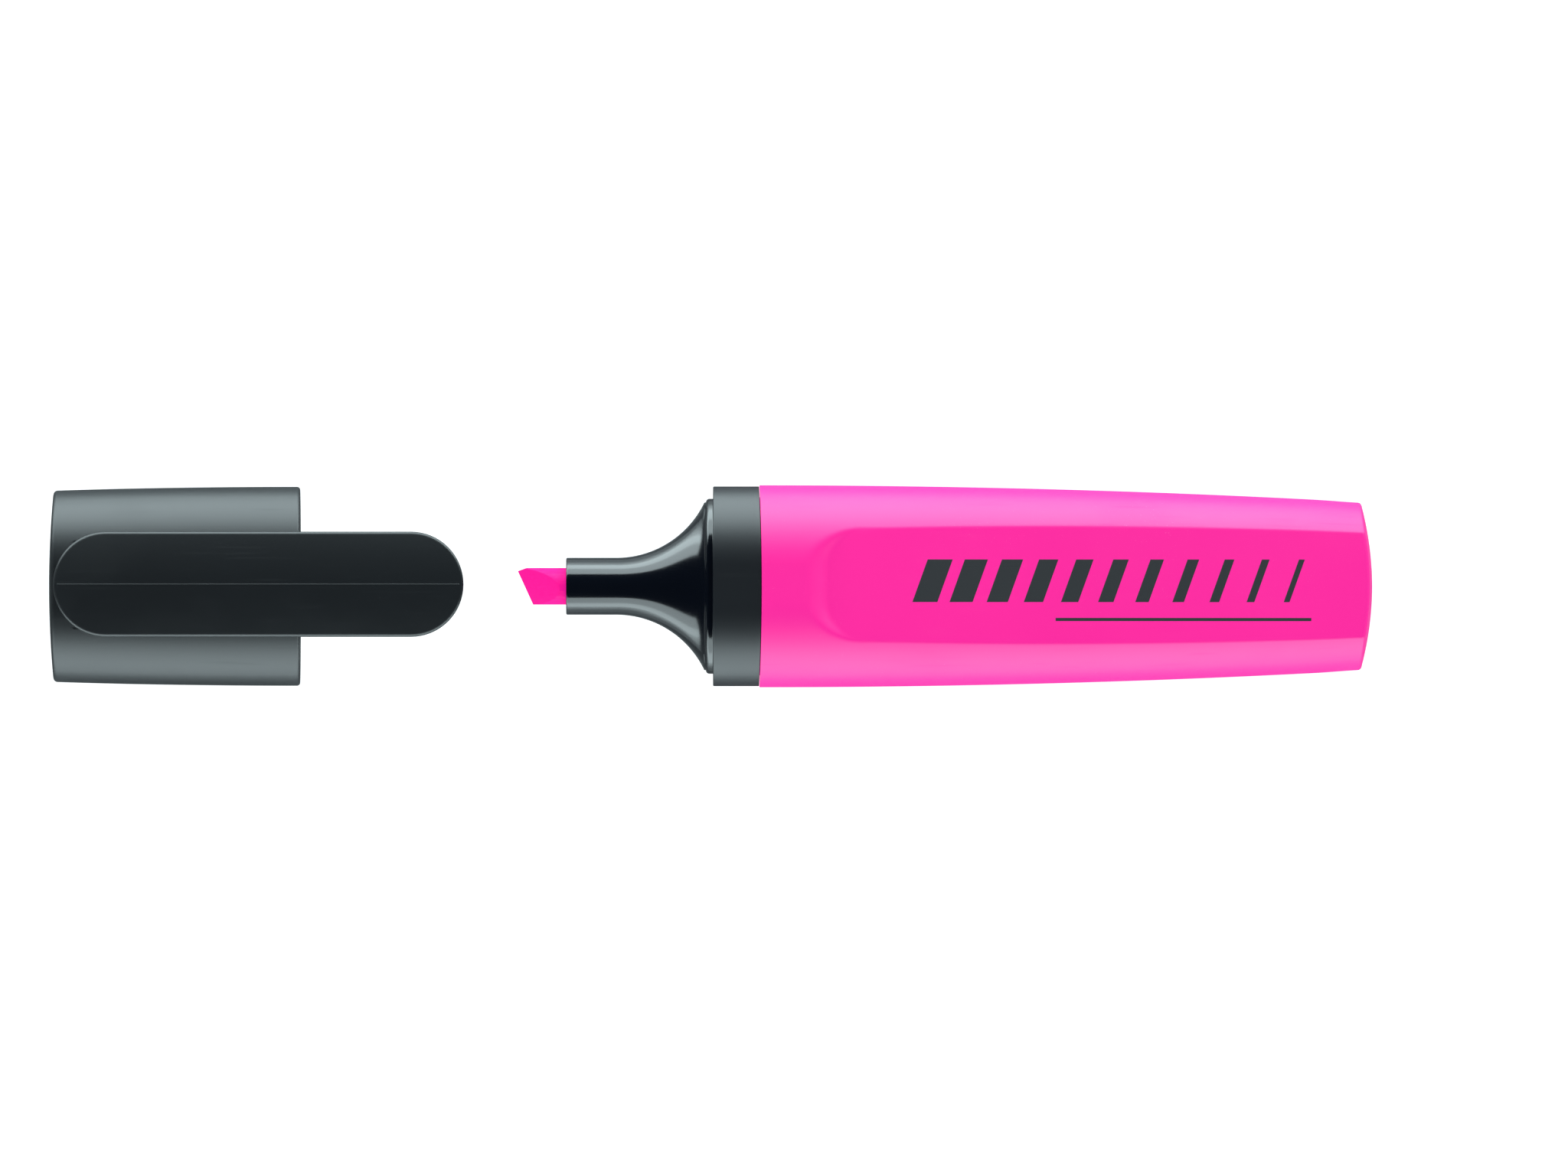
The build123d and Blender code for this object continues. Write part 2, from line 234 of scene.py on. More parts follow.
@dataclass(frozen=True)
class Oval:
    """Rounded oval across the pen: flat strips, crown arcs and side arcs, all tangent.

    Attributes:
        half_width: Half the size along Y.
        half_height: Half the size along Z.
        side: Radius of the side arcs.
        flat: Width of the flat strips at the top and bottom.
        middle: Height of its middle.
    """

    half_width: float
    half_height: float
    side: float
    flat: float
    middle: float

    @classmethod
    def circle(cls, radius: float, middle: float) -> "Oval":
        """A round section."""
        return cls(radius, radius, radius, 0.0, middle)

    @classmethod
    def standing(cls, half_width: float, height: float) -> "Oval":
        """The section that the barrel and the cap share, standing on the floor."""
        side, flat = 0.454 * half_width, 0.38 * half_width
        return cls(half_width, height / 2, side, flat, height / 2)

    @property
    def reach(self) -> float:
        """Distance from the flat strip's end to the side arc's centre, along Y."""
        return self.half_width - self.flat / 2 - self.side

    @property
    def crown(self) -> float:
        """Radius of the crown arcs.

        Returns:
            The radius, which is half the height on a round section.
        """
        spare = self.half_height - self.side
        if spare < MERGE:
            return self.half_height
        return (self.reach**2 + self.half_height**2 - self.side**2) / (2 * spare)

    def inset(self, depth: float) -> "Oval":
        """The same oval, drawn inside itself.

        Args:
            depth: How far inside.

        Returns:
            The smaller oval.
        """
        return replace(
            self,
            half_width=self.half_width - depth,
            half_height=self.half_height - depth,
            side=self.side - depth,
        )

    def quarter(self, crown_steps: int, side_steps: int) -> list[tuple[float, float, float]]:
        """Sample a quarter from the top's middle to the widest point.

        Args:
            crown_steps: Steps over the flat strip and the crown arc.
            side_steps: Steps over the side arc.

        Returns:
            (y, z from the middle, lean of the outward normal from +Z) for each point.
        """
        lean = math.atan2(self.reach, self.crown - self.half_height)
        length = self.flat / 2 + self.crown * lean
        points = []
        for step in range(crown_steps):
            along = length * step / crown_steps
            turn = max(along - self.flat / 2, 0.0) / self.crown
            y = min(along, self.flat / 2) + self.crown * math.sin(turn)
            points.append((y, self.half_height - self.crown * (1 - math.cos(turn)), turn))
        for step in range(side_steps + 1):
            turn = lean + (math.pi / 2 - lean) * step / side_steps
            y = self.half_width - self.side * (1 - math.sin(turn))
            points.append((y, self.side * math.cos(turn), turn))
        return points

    def around(self, crown_steps: int, side_steps: int) -> list[tuple[Vector, Vector]]:
        """Sample the whole oval, from the top's middle towards +Y.

        Args:
            crown_steps: Steps over each quarter's flat strip and crown arc.
            side_steps: Steps over each quarter's side arc.

        Returns:
            (point, outward normal) for each point, at x = 0.
        """
        quarter = self.quarter(crown_steps, side_steps)
        found = []
        for y_side, z_side, run in (
            (1, 1, quarter[:-1]),
            (1, -1, quarter[:0:-1]),
            (-1, -1, quarter[:-1]),
            (-1, 1, quarter[:0:-1]),
        ):
            for y, z, turn in run:
                normal = Vector((0, y_side * math.sin(turn), z_side * math.cos(turn)))
                found.append((Vector((0, y_side * y, self.middle + z_side * z)), normal))
        return found

    def polar(self, x: float, count: int, bow: float = 0.0) -> list[Vector]:
        """Sample the oval at even angles about its middle.

        Args:
            x: Station along the pen.
            count: How many points.
            bow: Curvature of the ring along X, in 1/m.

        Returns:
            The ring's points.
        """
        dense = self.around(60, 60)
        offsets = np.array([(p.y, p.z - self.middle) for p, _ in dense])
        angles = np.unwrap(np.arctan2(offsets[:, 0], offsets[:, 1]))
        radii = np.hypot(offsets[:, 0], offsets[:, 1])
        wanted = np.linspace(0, 2 * math.pi, count, endpoint=False)
        radii = np.interp(wanted, angles, radii, period=2 * math.pi)
        ring = []
        for angle, radius in zip(wanted, radii):
            y = radius * math.sin(angle)
            ring.append(Vector((x + bow * y * y / 2, y, self.middle + radius * math.cos(angle))))
        return ring


def spread(start: float, end: float, step: float) -> list[float]:
    """Even stations from start to end, no further apart than a step."""
    count = max(1, math.ceil(abs(end - start) / step))
    return [start + (end - start) * index / count for index in range(count + 1)]


def quarter_turn(steps: int) -> list[tuple[float, float]]:
    """(sine, cosine) pairs over a quarter turn."""
    turns = [math.pi / 2 * step / steps for step in range(steps + 1)]
    return [(math.sin(turn), math.cos(turn)) for turn in turns]


def new_object(name: str, mesh: bpy.types.Mesh) -> bpy.types.Object:
    """Link a mesh into the scene as an object.

    Args:
        name: The object's name.
        mesh: Its mesh.

    Returns:
        The object.
    """
    piece = bpy.data.objects.new(name, mesh)
    bpy.context.scene.collection.objects.link(piece)
    return piece


def tidy_mesh(mesh: bpy.types.Mesh, merge: float = MERGE) -> None:
    """Merge doubled points, drop what has no area, turn faces outwards and shade smooth.

    Args:
        mesh: The mesh to tidy.
        merge: Points nearer than this are merged.
    """
    shape = bmesh.new()
    shape.from_mesh(mesh)
    bmesh.ops.remove_doubles(shape, verts=shape.verts, dist=merge)
    bmesh.ops.dissolve_degenerate(shape, edges=shape.edges, dist=merge)
    bmesh.ops.recalc_face_normals(shape, faces=shape.faces)
    for face in shape.faces:
        face.smooth = True
    shape.to_mesh(mesh)
    shape.free()


def skin(name: str, rings: Sequence[Sequence[Vector]], ends: Ends) -> bpy.types.Mesh:
    """Join rings of equal count into one mesh.

    Args:
        name: The mesh's name.
        rings: The rings, in order.
        ends: What happens to the first and the last ring.

    Returns:
        The mesh.
    """
    count = len(rings[0])
    points = [tuple(point) for ring in rings for point in ring]
    faces = []
    for row in range(len(rings) if ends is Ends.JOINED else len(rings) - 1):
        here = row * count
        there = (row + 1) % len(rings) * count
        for column in range(count):
            after = (column + 1) % count
            faces.append((here + column, here + after, there + after, there + column))
    if ends is Ends.FILLED:
        faces.append(tuple(range(count)))
        faces.append(tuple(range(len(points) - count, len(points))))
    mesh = bpy.data.meshes.new(name)
    mesh.from_pydata(points, [], faces)
    tidy_mesh(mesh)
    return mesh


def join_meshes(name: str, meshes: Sequence[bpy.types.Mesh]) -> bpy.types.Mesh:
    """Put several meshes in one.

    Args:
        name: The new mesh's name.
        meshes: The meshes, which are removed.

    Returns:
        The new mesh.
    """
    shape = bmesh.new()
    for mesh in meshes:
        shape.from_mesh(mesh)
        bpy.data.meshes.remove(mesh)
    joined = bpy.data.meshes.new(name)
    shape.to_mesh(joined)
    shape.free()
    return joined


def place(
    piece: bpy.types.Object,
    body: Body,
    material: bpy.types.Material,
    nodes: Sequence[str],
) -> None:
    """Give a finished piece its material, its body and the CAD nodes it stands for.

    Args:
        piece: The finished piece.
        body: The body it rides on.
        material: Its material.
        nodes: The CAD nodes it stands for.
    """
    piece.data.materials.clear()
    piece.data.materials.append(material)
    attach(piece, body.value)
    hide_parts(*nodes)
    faces = sum(len(face.vertices) - 2 for face in piece.data.polygons)
    LOG.info("%s: %d triangles, rides on %s", piece.name, faces, body.value)


# ---------------------------------------------------------------- oval sleeve tree


def socket_title(name: str) -> str:
    """A size's name as its socket shows it."""
    return name.replace("_", " ").title()


@dataclass(frozen=True)
class SleeveRule:
    """Sizes that shape an oval sleeve from its wall outline, in metres and 1/m.

    Attributes:
        reference: Station where the section has its full size.
        side_arc: Radius of the outline seen from above.
        top_arc: Radius of the top line seen from the side.
        closed_end: Station of the closed end's middle.
        closed_bow: Curvature of the closed end.
        open_end: Station of the open end.
        open_bow: Curvature of the open end, seen from above.
        bow_reach: How far from an end its bow fades out.
        panel_start: Station where the flat panel starts.
        panel_height: Height of the panel there.
        panel_slope: Rise of the panel along the pen.
        panel_half: Half the width of the panel's outline at its start.
        panel_flare: How fast that outline widens along the pen.
        panel_corner: Radius of the panel's front corners.
        panel_wall: Rise of the panel's end wall over its run.
        panel_floor: Thickness of the wall under the panel, as a share of the wall elsewhere.
        softness: Width over which the panel's edges are rounded.
        front_softness: How much wider that is at the panel's front end.
    """

    reference: float
    side_arc: float
    top_arc: float
    closed_end: float
    closed_bow: float
    open_end: float
    open_bow: float = 0.0
    bow_reach: float = 12 * MM
    panel_start: float = 1.0
    panel_height: float = 1.0
    panel_slope: float = 0.0
    panel_half: float = 7.2 * MM
    panel_flare: float = 0.025
    panel_corner: float = 5.2 * MM
    panel_wall: float = 0.45
    panel_floor: float = 0.87
    softness: float = 0.10 * MM
    front_softness: float = 6.0


class SleeveTree:
    """Geometry Nodes that sweep a wall outline round an oval section by a rule.

    Each point of the outline holds a station, a depth inside the section and a share by which
    the ring is drawn in to the axis. Each point of the section gives one column of the grid.
    """

    SECTION = ("Width", "Height", "Axis Height")
    RULE = tuple(socket_title(item.name) for item in fields(SleeveRule))
    COUNTS = ("Outline Points", "Section Points")

    def __init__(self) -> None:
        """Make the tree with its sockets and its nodes."""
        self.tree = bpy.data.node_groups.new("oval_sleeve", "GeometryNodeTree")
        self.identifiers: dict[str, str] = {}
        self._declare()
        self._build()

    def _declare(self) -> None:
        """Make the tree's named inputs and its output."""
        face = self.tree.interface
        face.new_socket("Outline", in_out="INPUT", socket_type="NodeSocketGeometry")
        kinds = [("Section", "NodeSocketObject"), ("Material", "NodeSocketMaterial")]
        kinds += [(name, "NodeSocketFloat") for name in self.SECTION + self.RULE]
        kinds += [(name, "NodeSocketInt") for name in self.COUNTS]
        for name, kind in kinds:
            item = face.new_socket(name, in_out="INPUT", socket_type=kind)
            self.identifiers[name] = item.identifier
        face.new_socket("Sleeve", in_out="OUTPUT", socket_type="NodeSocketGeometry")

    def _sample(
        self,
        geometry: bpy.types.NodeSocket,
        value: bpy.types.NodeSocket,
        index: Field,
    ) -> list[Field]:
        """Read a vector of one point of another geometry.

        Args:
            geometry: Where to read.
            value: The vector to read there.
            index: The point's number.

        Returns:
            The vector's x, y and z fields.
        """
        node = self.tree.nodes.new("GeometryNodeSampleIndex")
        node.data_type = "FLOAT_VECTOR"
        self.tree.links.new(geometry, node.inputs["Geometry"])
        self.tree.links.new(value, node.inputs["Value"])
        self.tree.links.new(index.socket, node.inputs["Index"])
        return split_vector(self.tree, node.outputs["Value"])

    def _build(self) -> None:
        """Add the nodes."""
        tree, links = self.tree, self.tree.links
        given = tree.nodes.new("NodeGroupInput")
        names = self.SECTION + self.RULE + self.COUNTS
        size = {name: Field(tree, given.outputs[name]) for name in names}
        columns = size["Section Points"] + 1.0
        grid = tree.nodes.new("GeometryNodeMeshGrid")
        links.new(size["Outline Points"].socket, grid.inputs["Vertices X"])
        links.new(columns.socket, grid.inputs["Vertices Y"])

        # which point of the outline and of the section each grid point takes
        number = Field(tree, tree.nodes.new("GeometryNodeInputIndex").outputs[0])
        row = (number / columns).math("FLOOR")
        column = (number - row * columns).math("MODULO", size["Section Points"])
        position = tree.nodes.new("GeometryNodeInputPosition").outputs[0]
        outward = tree.nodes.new("GeometryNodeInputNamedAttribute")
        outward.data_type = "FLOAT_VECTOR"
        outward.inputs["Name"].default_value = "outward"
        section = tree.nodes.new("GeometryNodeObjectInfo")
        links.new(given.outputs["Section"], section.inputs["Object"])
        station, depth, drawn_in = self._sample(given.outputs["Outline"], position, row)
        _, across, height = self._sample(section.outputs["Geometry"], position, column)
        _, out_y, out_z = self._sample(
            section.outputs["Geometry"], outward.outputs["Attribute"], column
        )

        # taper, then depth
        travel = station - size["Reference"]
        square = travel * travel
        narrow = square / (size["Side Arc"] * size["Width"]) * -1.0 + 1.0
        lower = square / (size["Top Arc"] * size["Height"]) * -0.5 + 1.0
        y = across * narrow - out_y * depth
        z = height * lower - out_z * depth

        # flat panel: distance outside its rounded outline lifts its end wall
        ahead = (size["Panel Start"] + size["Panel Corner"] - station).positive()
        half = (station - size["Panel Start"]) * size["Panel Flare"] + size["Panel Half"]
        beside = (y.math("ABSOLUTE") - half + size["Panel Corner"]).positive()
        outside = (ahead * ahead + beside * beside).math("SQRT") - size["Panel Corner"]
        behind = (station - size["Panel Start"]) / (size["Panel Corner"] * 1.6)
        soft = size["Softness"] * ((behind * -1.0 + 1.0).eased() * size["Front Softness"] + 1.0)
        wall = outside.math("SMOOTH_MAX", 0.0, soft) * size["Panel Wall"]
        floor = (station - size["Panel Start"]) * size["Panel Slope"] + size["Panel Height"]
        floor = floor - depth * size["Panel Floor"]
        z = z.math("SMOOTH_MIN", floor + wall, soft)

        # closed ends are drawn in to the axis and bowed
        kept = drawn_in * -1.0 + 1.0
        y = y * kept
        rise = (z - size["Axis Height"]) * kept
        near = (station - size["Closed End"]).math("ABSOLUTE") / size["Bow Reach"]
        dome = (near * -1.0 + 1.0).eased() * size["Closed Bow"] * (y * y + rise * rise)
        near = (station - size["Open End"]).math("ABSOLUTE") / size["Bow Reach"]
        bow = (near * -1.0 + 1.0).eased() * size["Open Bow"] * (y * y)
        x = station + (dome + bow) * 0.5

        moved = tree.nodes.new("GeometryNodeSetPosition")
        links.new(grid.outputs["Mesh"], moved.inputs["Geometry"])
        vector = join_vector(tree, x, y, rise + size["Axis Height"])
        links.new(vector, moved.inputs["Position"])
        merged = tree.nodes.new("GeometryNodeMergeByDistance")
        merged.inputs["Distance"].default_value = MERGE
        smooth = tree.nodes.new("GeometryNodeSetShadeSmooth")
        real = tree.nodes.new("GeometryNodeRealizeInstances")
        dressed = tree.nodes.new("GeometryNodeSetMaterial")
        links.new(given.outputs["Material"], dressed.inputs["Material"])
        output = tree.nodes.new("NodeGroupOutput")
        chain = [moved, merged, smooth, real, dressed, output]
        for before, after in zip(chain, chain[1:]):
            links.new(before.outputs[0], after.inputs[0])

    def sweep(
        self,
        name: str,
        outline: Sequence[tuple[float, float, float]],
        section: Oval,
        rule: SleeveRule,
        material: bpy.types.Material,
        steps: tuple[int, int],
    ) -> bpy.types.Mesh:
        """Run the tree once and keep the result as a plain mesh.

        Args:
            name: The mesh's name.
            outline: (station, depth, drawn in) points of the wall, from pole to pole.
            section: The full-size section.
            rule: The sizes that shape it.
            material: The material.
            steps: Crown steps and side steps of each quarter of the section.

        Returns:
            The mesh.
        """
        ring = section.around(*steps)
        ring_mesh = bpy.data.meshes.new(f"{name}_section")
        ring_mesh.from_pydata([tuple(point) for point, _ in ring], [], [])
        normals = ring_mesh.attributes.new("outward", "FLOAT_VECTOR", "POINT")
        normals.data.foreach_set("vector", [c for _, normal in ring for c in normal])
        ring_object = new_object(f"{name}_section", ring_mesh)
        source_mesh = bpy.data.meshes.new(f"{name}_outline")
        source_mesh.from_pydata(list(outline), [], [])
        source = new_object(f"{name}_outline", source_mesh)

        modifier = source.modifiers.new("sleeve", "NODES")
        modifier.node_group = self.tree
        values = {
            "Section": ring_object,
            "Material": material,
            "Width": 2 * section.half_width,
            "Height": 2 * section.half_height,
            "Axis Height": section.middle,
            "Outline Points": len(outline),
            "Section Points": len(ring),
        }
        values |= {socket_title(item.name): getattr(rule, item.name) for item in fields(rule)}
        for key, value in values.items():
            modifier[self.identifiers[key]] = value
        depsgraph = bpy.context.evaluated_depsgraph_get()
        mesh = bpy.data.meshes.new_from_object(source.evaluated_get(depsgraph))
        mesh.name = name
        for used in (source, ring_object):
            data = used.data
            bpy.data.objects.remove(used)
            bpy.data.meshes.remove(data)
        tidy_mesh(mesh)
        return mesh


# ---------------------------------------------------------------- finishes


class Effects:
    """Shader node groups that several finishes share. Each reads Object coordinates."""

    def __init__(self) -> None:
        """Build each group once."""
        self.grain = self._mould_grain()
        self.handling = self._handling()
        self.fibres = self._fibres()
        self.print = self._panel_print()

    @staticmethod
    def _group(
        name: str, numbers: dict[str, float], outputs: Sequence[str]
    ) -> tuple[bpy.types.NodeTree, dict[str, "Field"], bpy.types.NodeSocket, bpy.types.Node]:
        """Start a group that takes Object coordinates and some numbers.

        Args:
            name: The group's name.
            numbers: Its number inputs with their usual values.
            outputs: Its number outputs.

        Returns:
            The tree, its number inputs, its coordinates and its output node.
        """
        tree = bpy.data.node_groups.new(name, "ShaderNodeTree")
        tree.interface.new_socket("Vector", in_out="INPUT", socket_type="NodeSocketVector")
        for title, usual in numbers.items():
            item = tree.interface.new_socket(title, in_out="INPUT", socket_type="NodeSocketFloat")
            item.default_value = usual
        for title in outputs:
            tree.interface.new_socket(title, in_out="OUTPUT", socket_type="NodeSocketFloat")
        given = tree.nodes.new("NodeGroupInput")
        sizes = {title: Field(tree, given.outputs[title]) for title in numbers}
        return tree, sizes, given.outputs["Vector"], tree.nodes.new("NodeGroupOutput")

    def _mould_grain(self) -> bpy.types.NodeTree:
        """Fine texture of a moulded surface, with slow waves where the plastic shrank.

        Returns:
            The group.
        """
        tree, given, vector, out = self._group(
            "mould_grain", {"Cells": 4500.0, "Fine": 1.0, "Slow": 1.0}, ["Height"]
        )
        fine = noise(tree, vector, given["Cells"], 4.0) - 0.5
        slow = noise(tree, vector, 55.0, 1.0, (0.6, 1.0, 1.0)) - 0.5
        height = fine * given["Fine"] + slow * given["Slow"] * 6.0
        tree.links.new(height.socket, out.inputs["Height"])
        return tree

    def _handling(self) -> bpy.types.NodeTree:
        """Roughness and specks from handling: smudges, lengthwise hairlines and dust.

        Returns:
            The group.
        """
        tree, given, vector, out = self._group(
            "handling", {"Roughness": 0.3, "Smudge": 0.1, "Hairlines": 0.1}, ["Roughness", "Dust"]
        )
        smudge = noise(tree, vector, 90.0, 4.0, (0.7, 1.0, 1.0)).over(0.45, gain=4.0).eased()
        line = noise(tree, vector, 2600.0, 2.0, (0.035, 1.0, 1.0)).over(0.62, gain=9.0).clamped()
        rough = given["Roughness"] + smudge * given["Smudge"] + line * given["Hairlines"]
        tree.links.new(rough.socket, out.inputs["Roughness"])
        speck = noise(tree, vector, 5200.0, 1.0)
        patch = noise(tree, vector, 60.0, 2.0)
        dust = speck.over(0.72, gain=14.0).clamped() * patch.over(0.45, gain=4.0).clamped()
        tree.links.new(dust.socket, out.inputs["Dust"])
        return tree

    def _fibres(self) -> bpy.types.NodeTree:
        """Bundled fibres that run along the pen, with open pores between them.

        Returns:
            The group.
        """
        tree, given, vector, out = self._group("fibres", {"Cells": 3800.0}, ["Height", "Shade"])
        strand = noise(tree, vector, given["Cells"], 3.0, (0.16, 1.0, 1.0))
        pore = noise(tree, vector, given["Cells"] * 1.7, 2.0)
        height = strand + pore * 0.7
        tree.links.new(height.socket, out.inputs["Height"])
        # Shade is lowest where the height is lowest, and the base colour darkens there: painted
        # shade in the pores.
        bundles, gaps = (part.over(0.35, gain=2.6).clamped() for part in (strand, pore))
        shade = bundles * 0.6 + gaps * 0.4
        tree.links.new(shade.socket, out.inputs["Shade"])
        return tree

    def _panel_print(self) -> bpy.types.NodeTree:
        """Print on the flat panel: a row of slanted strokes that thin out, over a thin line.

        Returns:
            The group.
        """
        numbers = {
            "Start": 26.6, "Middle": 0.55, "Pitch": 4.72, "Strokes": 11.0, "Thickest": 3.3,
            "Thinnest": 0.8, "Tall": 5.6, "Slant": 0.36, "Line Start": 45.0, "Line Length": 33.4,
            "Line Middle": -4.5, "Line Width": 0.45, "Edge": 0.03, "Lowest": 12.0,
        }
        tree, given, vector, out = self._group("panel_print", numbers, ["Mask"])
        # the group's sizes are in millimetres, and its slant is a slope
        x, y, z = (part * 1000.0 for part in split_vector(tree, vector))
        rise = y - given["Middle"]
        along = (x - given["Start"] - rise * given["Slant"]) / given["Pitch"]
        stroke = along.math("FLOOR")
        share = (stroke / (given["Strokes"] - 1.0)).clamped()
        wide = given["Thickest"] + (given["Thinnest"] - given["Thickest"]) * share
        off = (along - stroke - 0.5).math("ABSOLUTE") * given["Pitch"]
        inside = ((wide * 0.5 - off) / given["Edge"]).clamped()
        inside = inside * ((given["Tall"] * 0.5 - rise.math("ABSOLUTE")) / given["Edge"]).clamped()
        inside = inside * (along * 50.0).clamped()
        inside = inside * ((given["Strokes"] - along) * 50.0).clamped()
        middle = given["Line Start"] + given["Line Length"] * 0.5
        from_end = given["Line Length"] * 0.5 - (x - middle).math("ABSOLUTE")
        line = (from_end / given["Edge"]).clamped()
        from_side = given["Line Width"] * 0.5 - (y - given["Line Middle"]).math("ABSOLUTE")
        line = line * (from_side / given["Edge"]).clamped()
        on_top = (z - given["Lowest"]).clamped()
        mask = inside.math("MAXIMUM", line) * on_top
        tree.links.new(mask.socket, out.inputs["Mask"])
        return tree


class Shader:
    """One material under construction, with its Principled BSDF and Object coordinates."""

    def __init__(self, name: str) -> None:
        """Start a material.

        Args:
            name: Its name.
        """
        self.material = bpy.data.materials.new(name)
        self.material.use_nodes = True
        self.tree = self.material.node_tree
        self.surface = self.tree.nodes["Principled BSDF"]
        self.vector = self.tree.nodes.new("ShaderNodeTexCoord").outputs["Object"]

    def effect(self, group: bpy.types.NodeTree, **values: float) -> dict[str, Field]:
        """Place a shared group.

        Args:
            group: The group.
            values: Its inputs, by their names with underscores for spaces.

        Returns:
            Its outputs by name.
        """
        node = self.tree.nodes.new("ShaderNodeGroup")
        node.node_tree = group
        self.tree.links.new(self.vector, node.inputs["Vector"])
        for title, value in values.items():
            node.inputs[title.replace("_", " ")].default_value = value
        return {output.name: Field(self.tree, output) for output in node.outputs}

    def mix(
        self, share: Field, first: "Colour | bpy.types.NodeSocket", second: Colour
    ) -> bpy.types.NodeSocket:
        """Mix two colours.

        Args:
            share: How much of the second colour shows.
            first: First colour, or a socket that gives it.
            second: Second colour.

        Returns:
            The mixed colour.
        """
        node = self.tree.nodes.new("ShaderNodeMix")
        node.data_type = "RGBA"
        self.tree.links.new(share.socket, node.inputs["Factor"])
        if isinstance(first, bpy.types.NodeSocket):
            self.tree.links.new(first, node.inputs["A"])
        else:
            node.inputs["A"].default_value = (*first, 1.0)
        node.inputs["B"].default_value = (*second, 1.0)
        return node.outputs["Result"]

    def link(self, value: "Field | bpy.types.NodeSocket", title: str) -> None:
        """Feed one of the Principled BSDF's sockets."""
        socket = value.socket if isinstance(value, Field) else value
        self.tree.links.new(socket, self.surface.inputs[title])

    def bump(self, height: Field, distance: float) -> None:
        """Feed the normal from a height.

        Args:
            height: The height, about 0 to 1.
            distance: How deep 1 is, in metres.
        """
        node = self.tree.nodes.new("ShaderNodeBump")
        node.inputs["Distance"].default_value = distance
        self.tree.links.new(height.socket, node.inputs["Height"])
        self.tree.links.new(node.outputs["Normal"], self.surface.inputs["Normal"])


@dataclass(frozen=True)
class PrintedInk:
    """Ink printed on a moulded surface.

    Attributes:
        colour: Its colour.
        roughness: Roughness that it adds.
        cover: Share of the grain's height that it fills.
        relief: How far it stands up, in depths of the grain.
    """

    colour: Colour
    roughness: float = 0.12
    cover: float = 0.6
    relief: float = 2.0


@dataclass(frozen=True)
class MouldedPlastic:
    """Moulded plastic with fine grain, slow waves, hairlines and a little dust.

    Attributes:
        name: The material's name.
        colour: Its colour.
        deep: The colour it drifts towards in slow patches.
        roughness: Its roughness where it is clean.
        smudge: Roughness that smudges add.
        hairlines: Roughness that hairlines add.
        grain: Depth of the grain in metres.
        cells: Grain cells per metre.
        slow: Strength of the slow waves.
        dust: Colour of the dust.
        dust_cover: How much of the colour a speck hides.
        dust_roughness: Roughness that a speck adds.
        ior: Index of refraction.
        glow: Colour of a fixed emission, a painted glow that stands in for the fluorescent
            pigment's brightness.
        glow_strength: Strength of that painted glow.
        satin: Roughness added behind a station, where the mould was textured.
        satin_from: That station.
        satin_ramp: How far the added roughness takes to come in.
    """

    name: str
    colour: Colour
    deep: Colour
    roughness: float
    smudge: float = 0.05
    hairlines: float = 0.06
    grain: float = 0.002 * MM
    cells: float = 4500.0
    slow: float = 1.0
    dust: Colour = (0.05, 0.05, 0.05)
    dust_cover: float = 0.25
    dust_roughness: float = 0.15
    ior: float = 1.5
    glow: Colour = (1.0, 0.0, 0.3)
    glow_strength: float = 0.0
    satin: float = 0.0
    satin_from: float = 0.0
    satin_ramp: float = 0.2 * MM

    def make(self, effects: Effects, printed: PrintedInk | None = None) -> bpy.types.Material:
        """Build the material.

        Args:
            effects: The shared groups.
            printed: The panel's print, or None for no print.

        Returns:
            The material.
        """
        shader = Shader(self.name)
        shader.surface.inputs["IOR"].default_value = self.ior
        # Emission here is a painted glow: a fixed light from the surface that stands in for the
        # fluorescent pigment's brightness.
        shader.surface.inputs["Emission Strength"].default_value = self.glow_strength
        handled = shader.effect(
            effects.handling,
            Roughness=self.roughness,
            Smudge=self.smudge,
            Hairlines=self.hairlines,
        )
        grain = shader.effect(effects.grain, Cells=self.cells, Fine=1.0, Slow=self.slow)
        patch = noise(shader.tree, shader.vector, 35.0, 2.0)
        colour = shader.mix(patch.over(0.35, gain=3.0).eased(), self.colour, self.deep)
        colour = shader.mix(handled["Dust"] * self.dust_cover, colour, self.dust)
        rough = handled["Roughness"] + handled["Dust"] * self.dust_roughness
        if self.satin:
            x = split_vector(shader.tree, shader.vector)[0]
            rough = rough + ((x - self.satin_from) / self.satin_ramp).clamped() * self.satin
        if printed is not None:
            mask = shader.effect(effects.print)["Mask"]
            colour = shader.mix(mask, colour, printed.colour)
            rough = rough + mask * printed.roughness
            height = grain["Height"] * (mask * -printed.cover + 1.0) + mask * printed.relief
            # The painted glow is the emission colour everywhere except under the print, which
            # stays dark.
            shader.link(shader.mix(mask, self.glow, (0.0, 0.0, 0.0)), "Emission Color")
        else:
            height = grain["Height"]
        shader.link(colour, "Base Color")
        shader.link(rough, "Roughness")
        shader.bump(height, self.grain)
        return shader.material


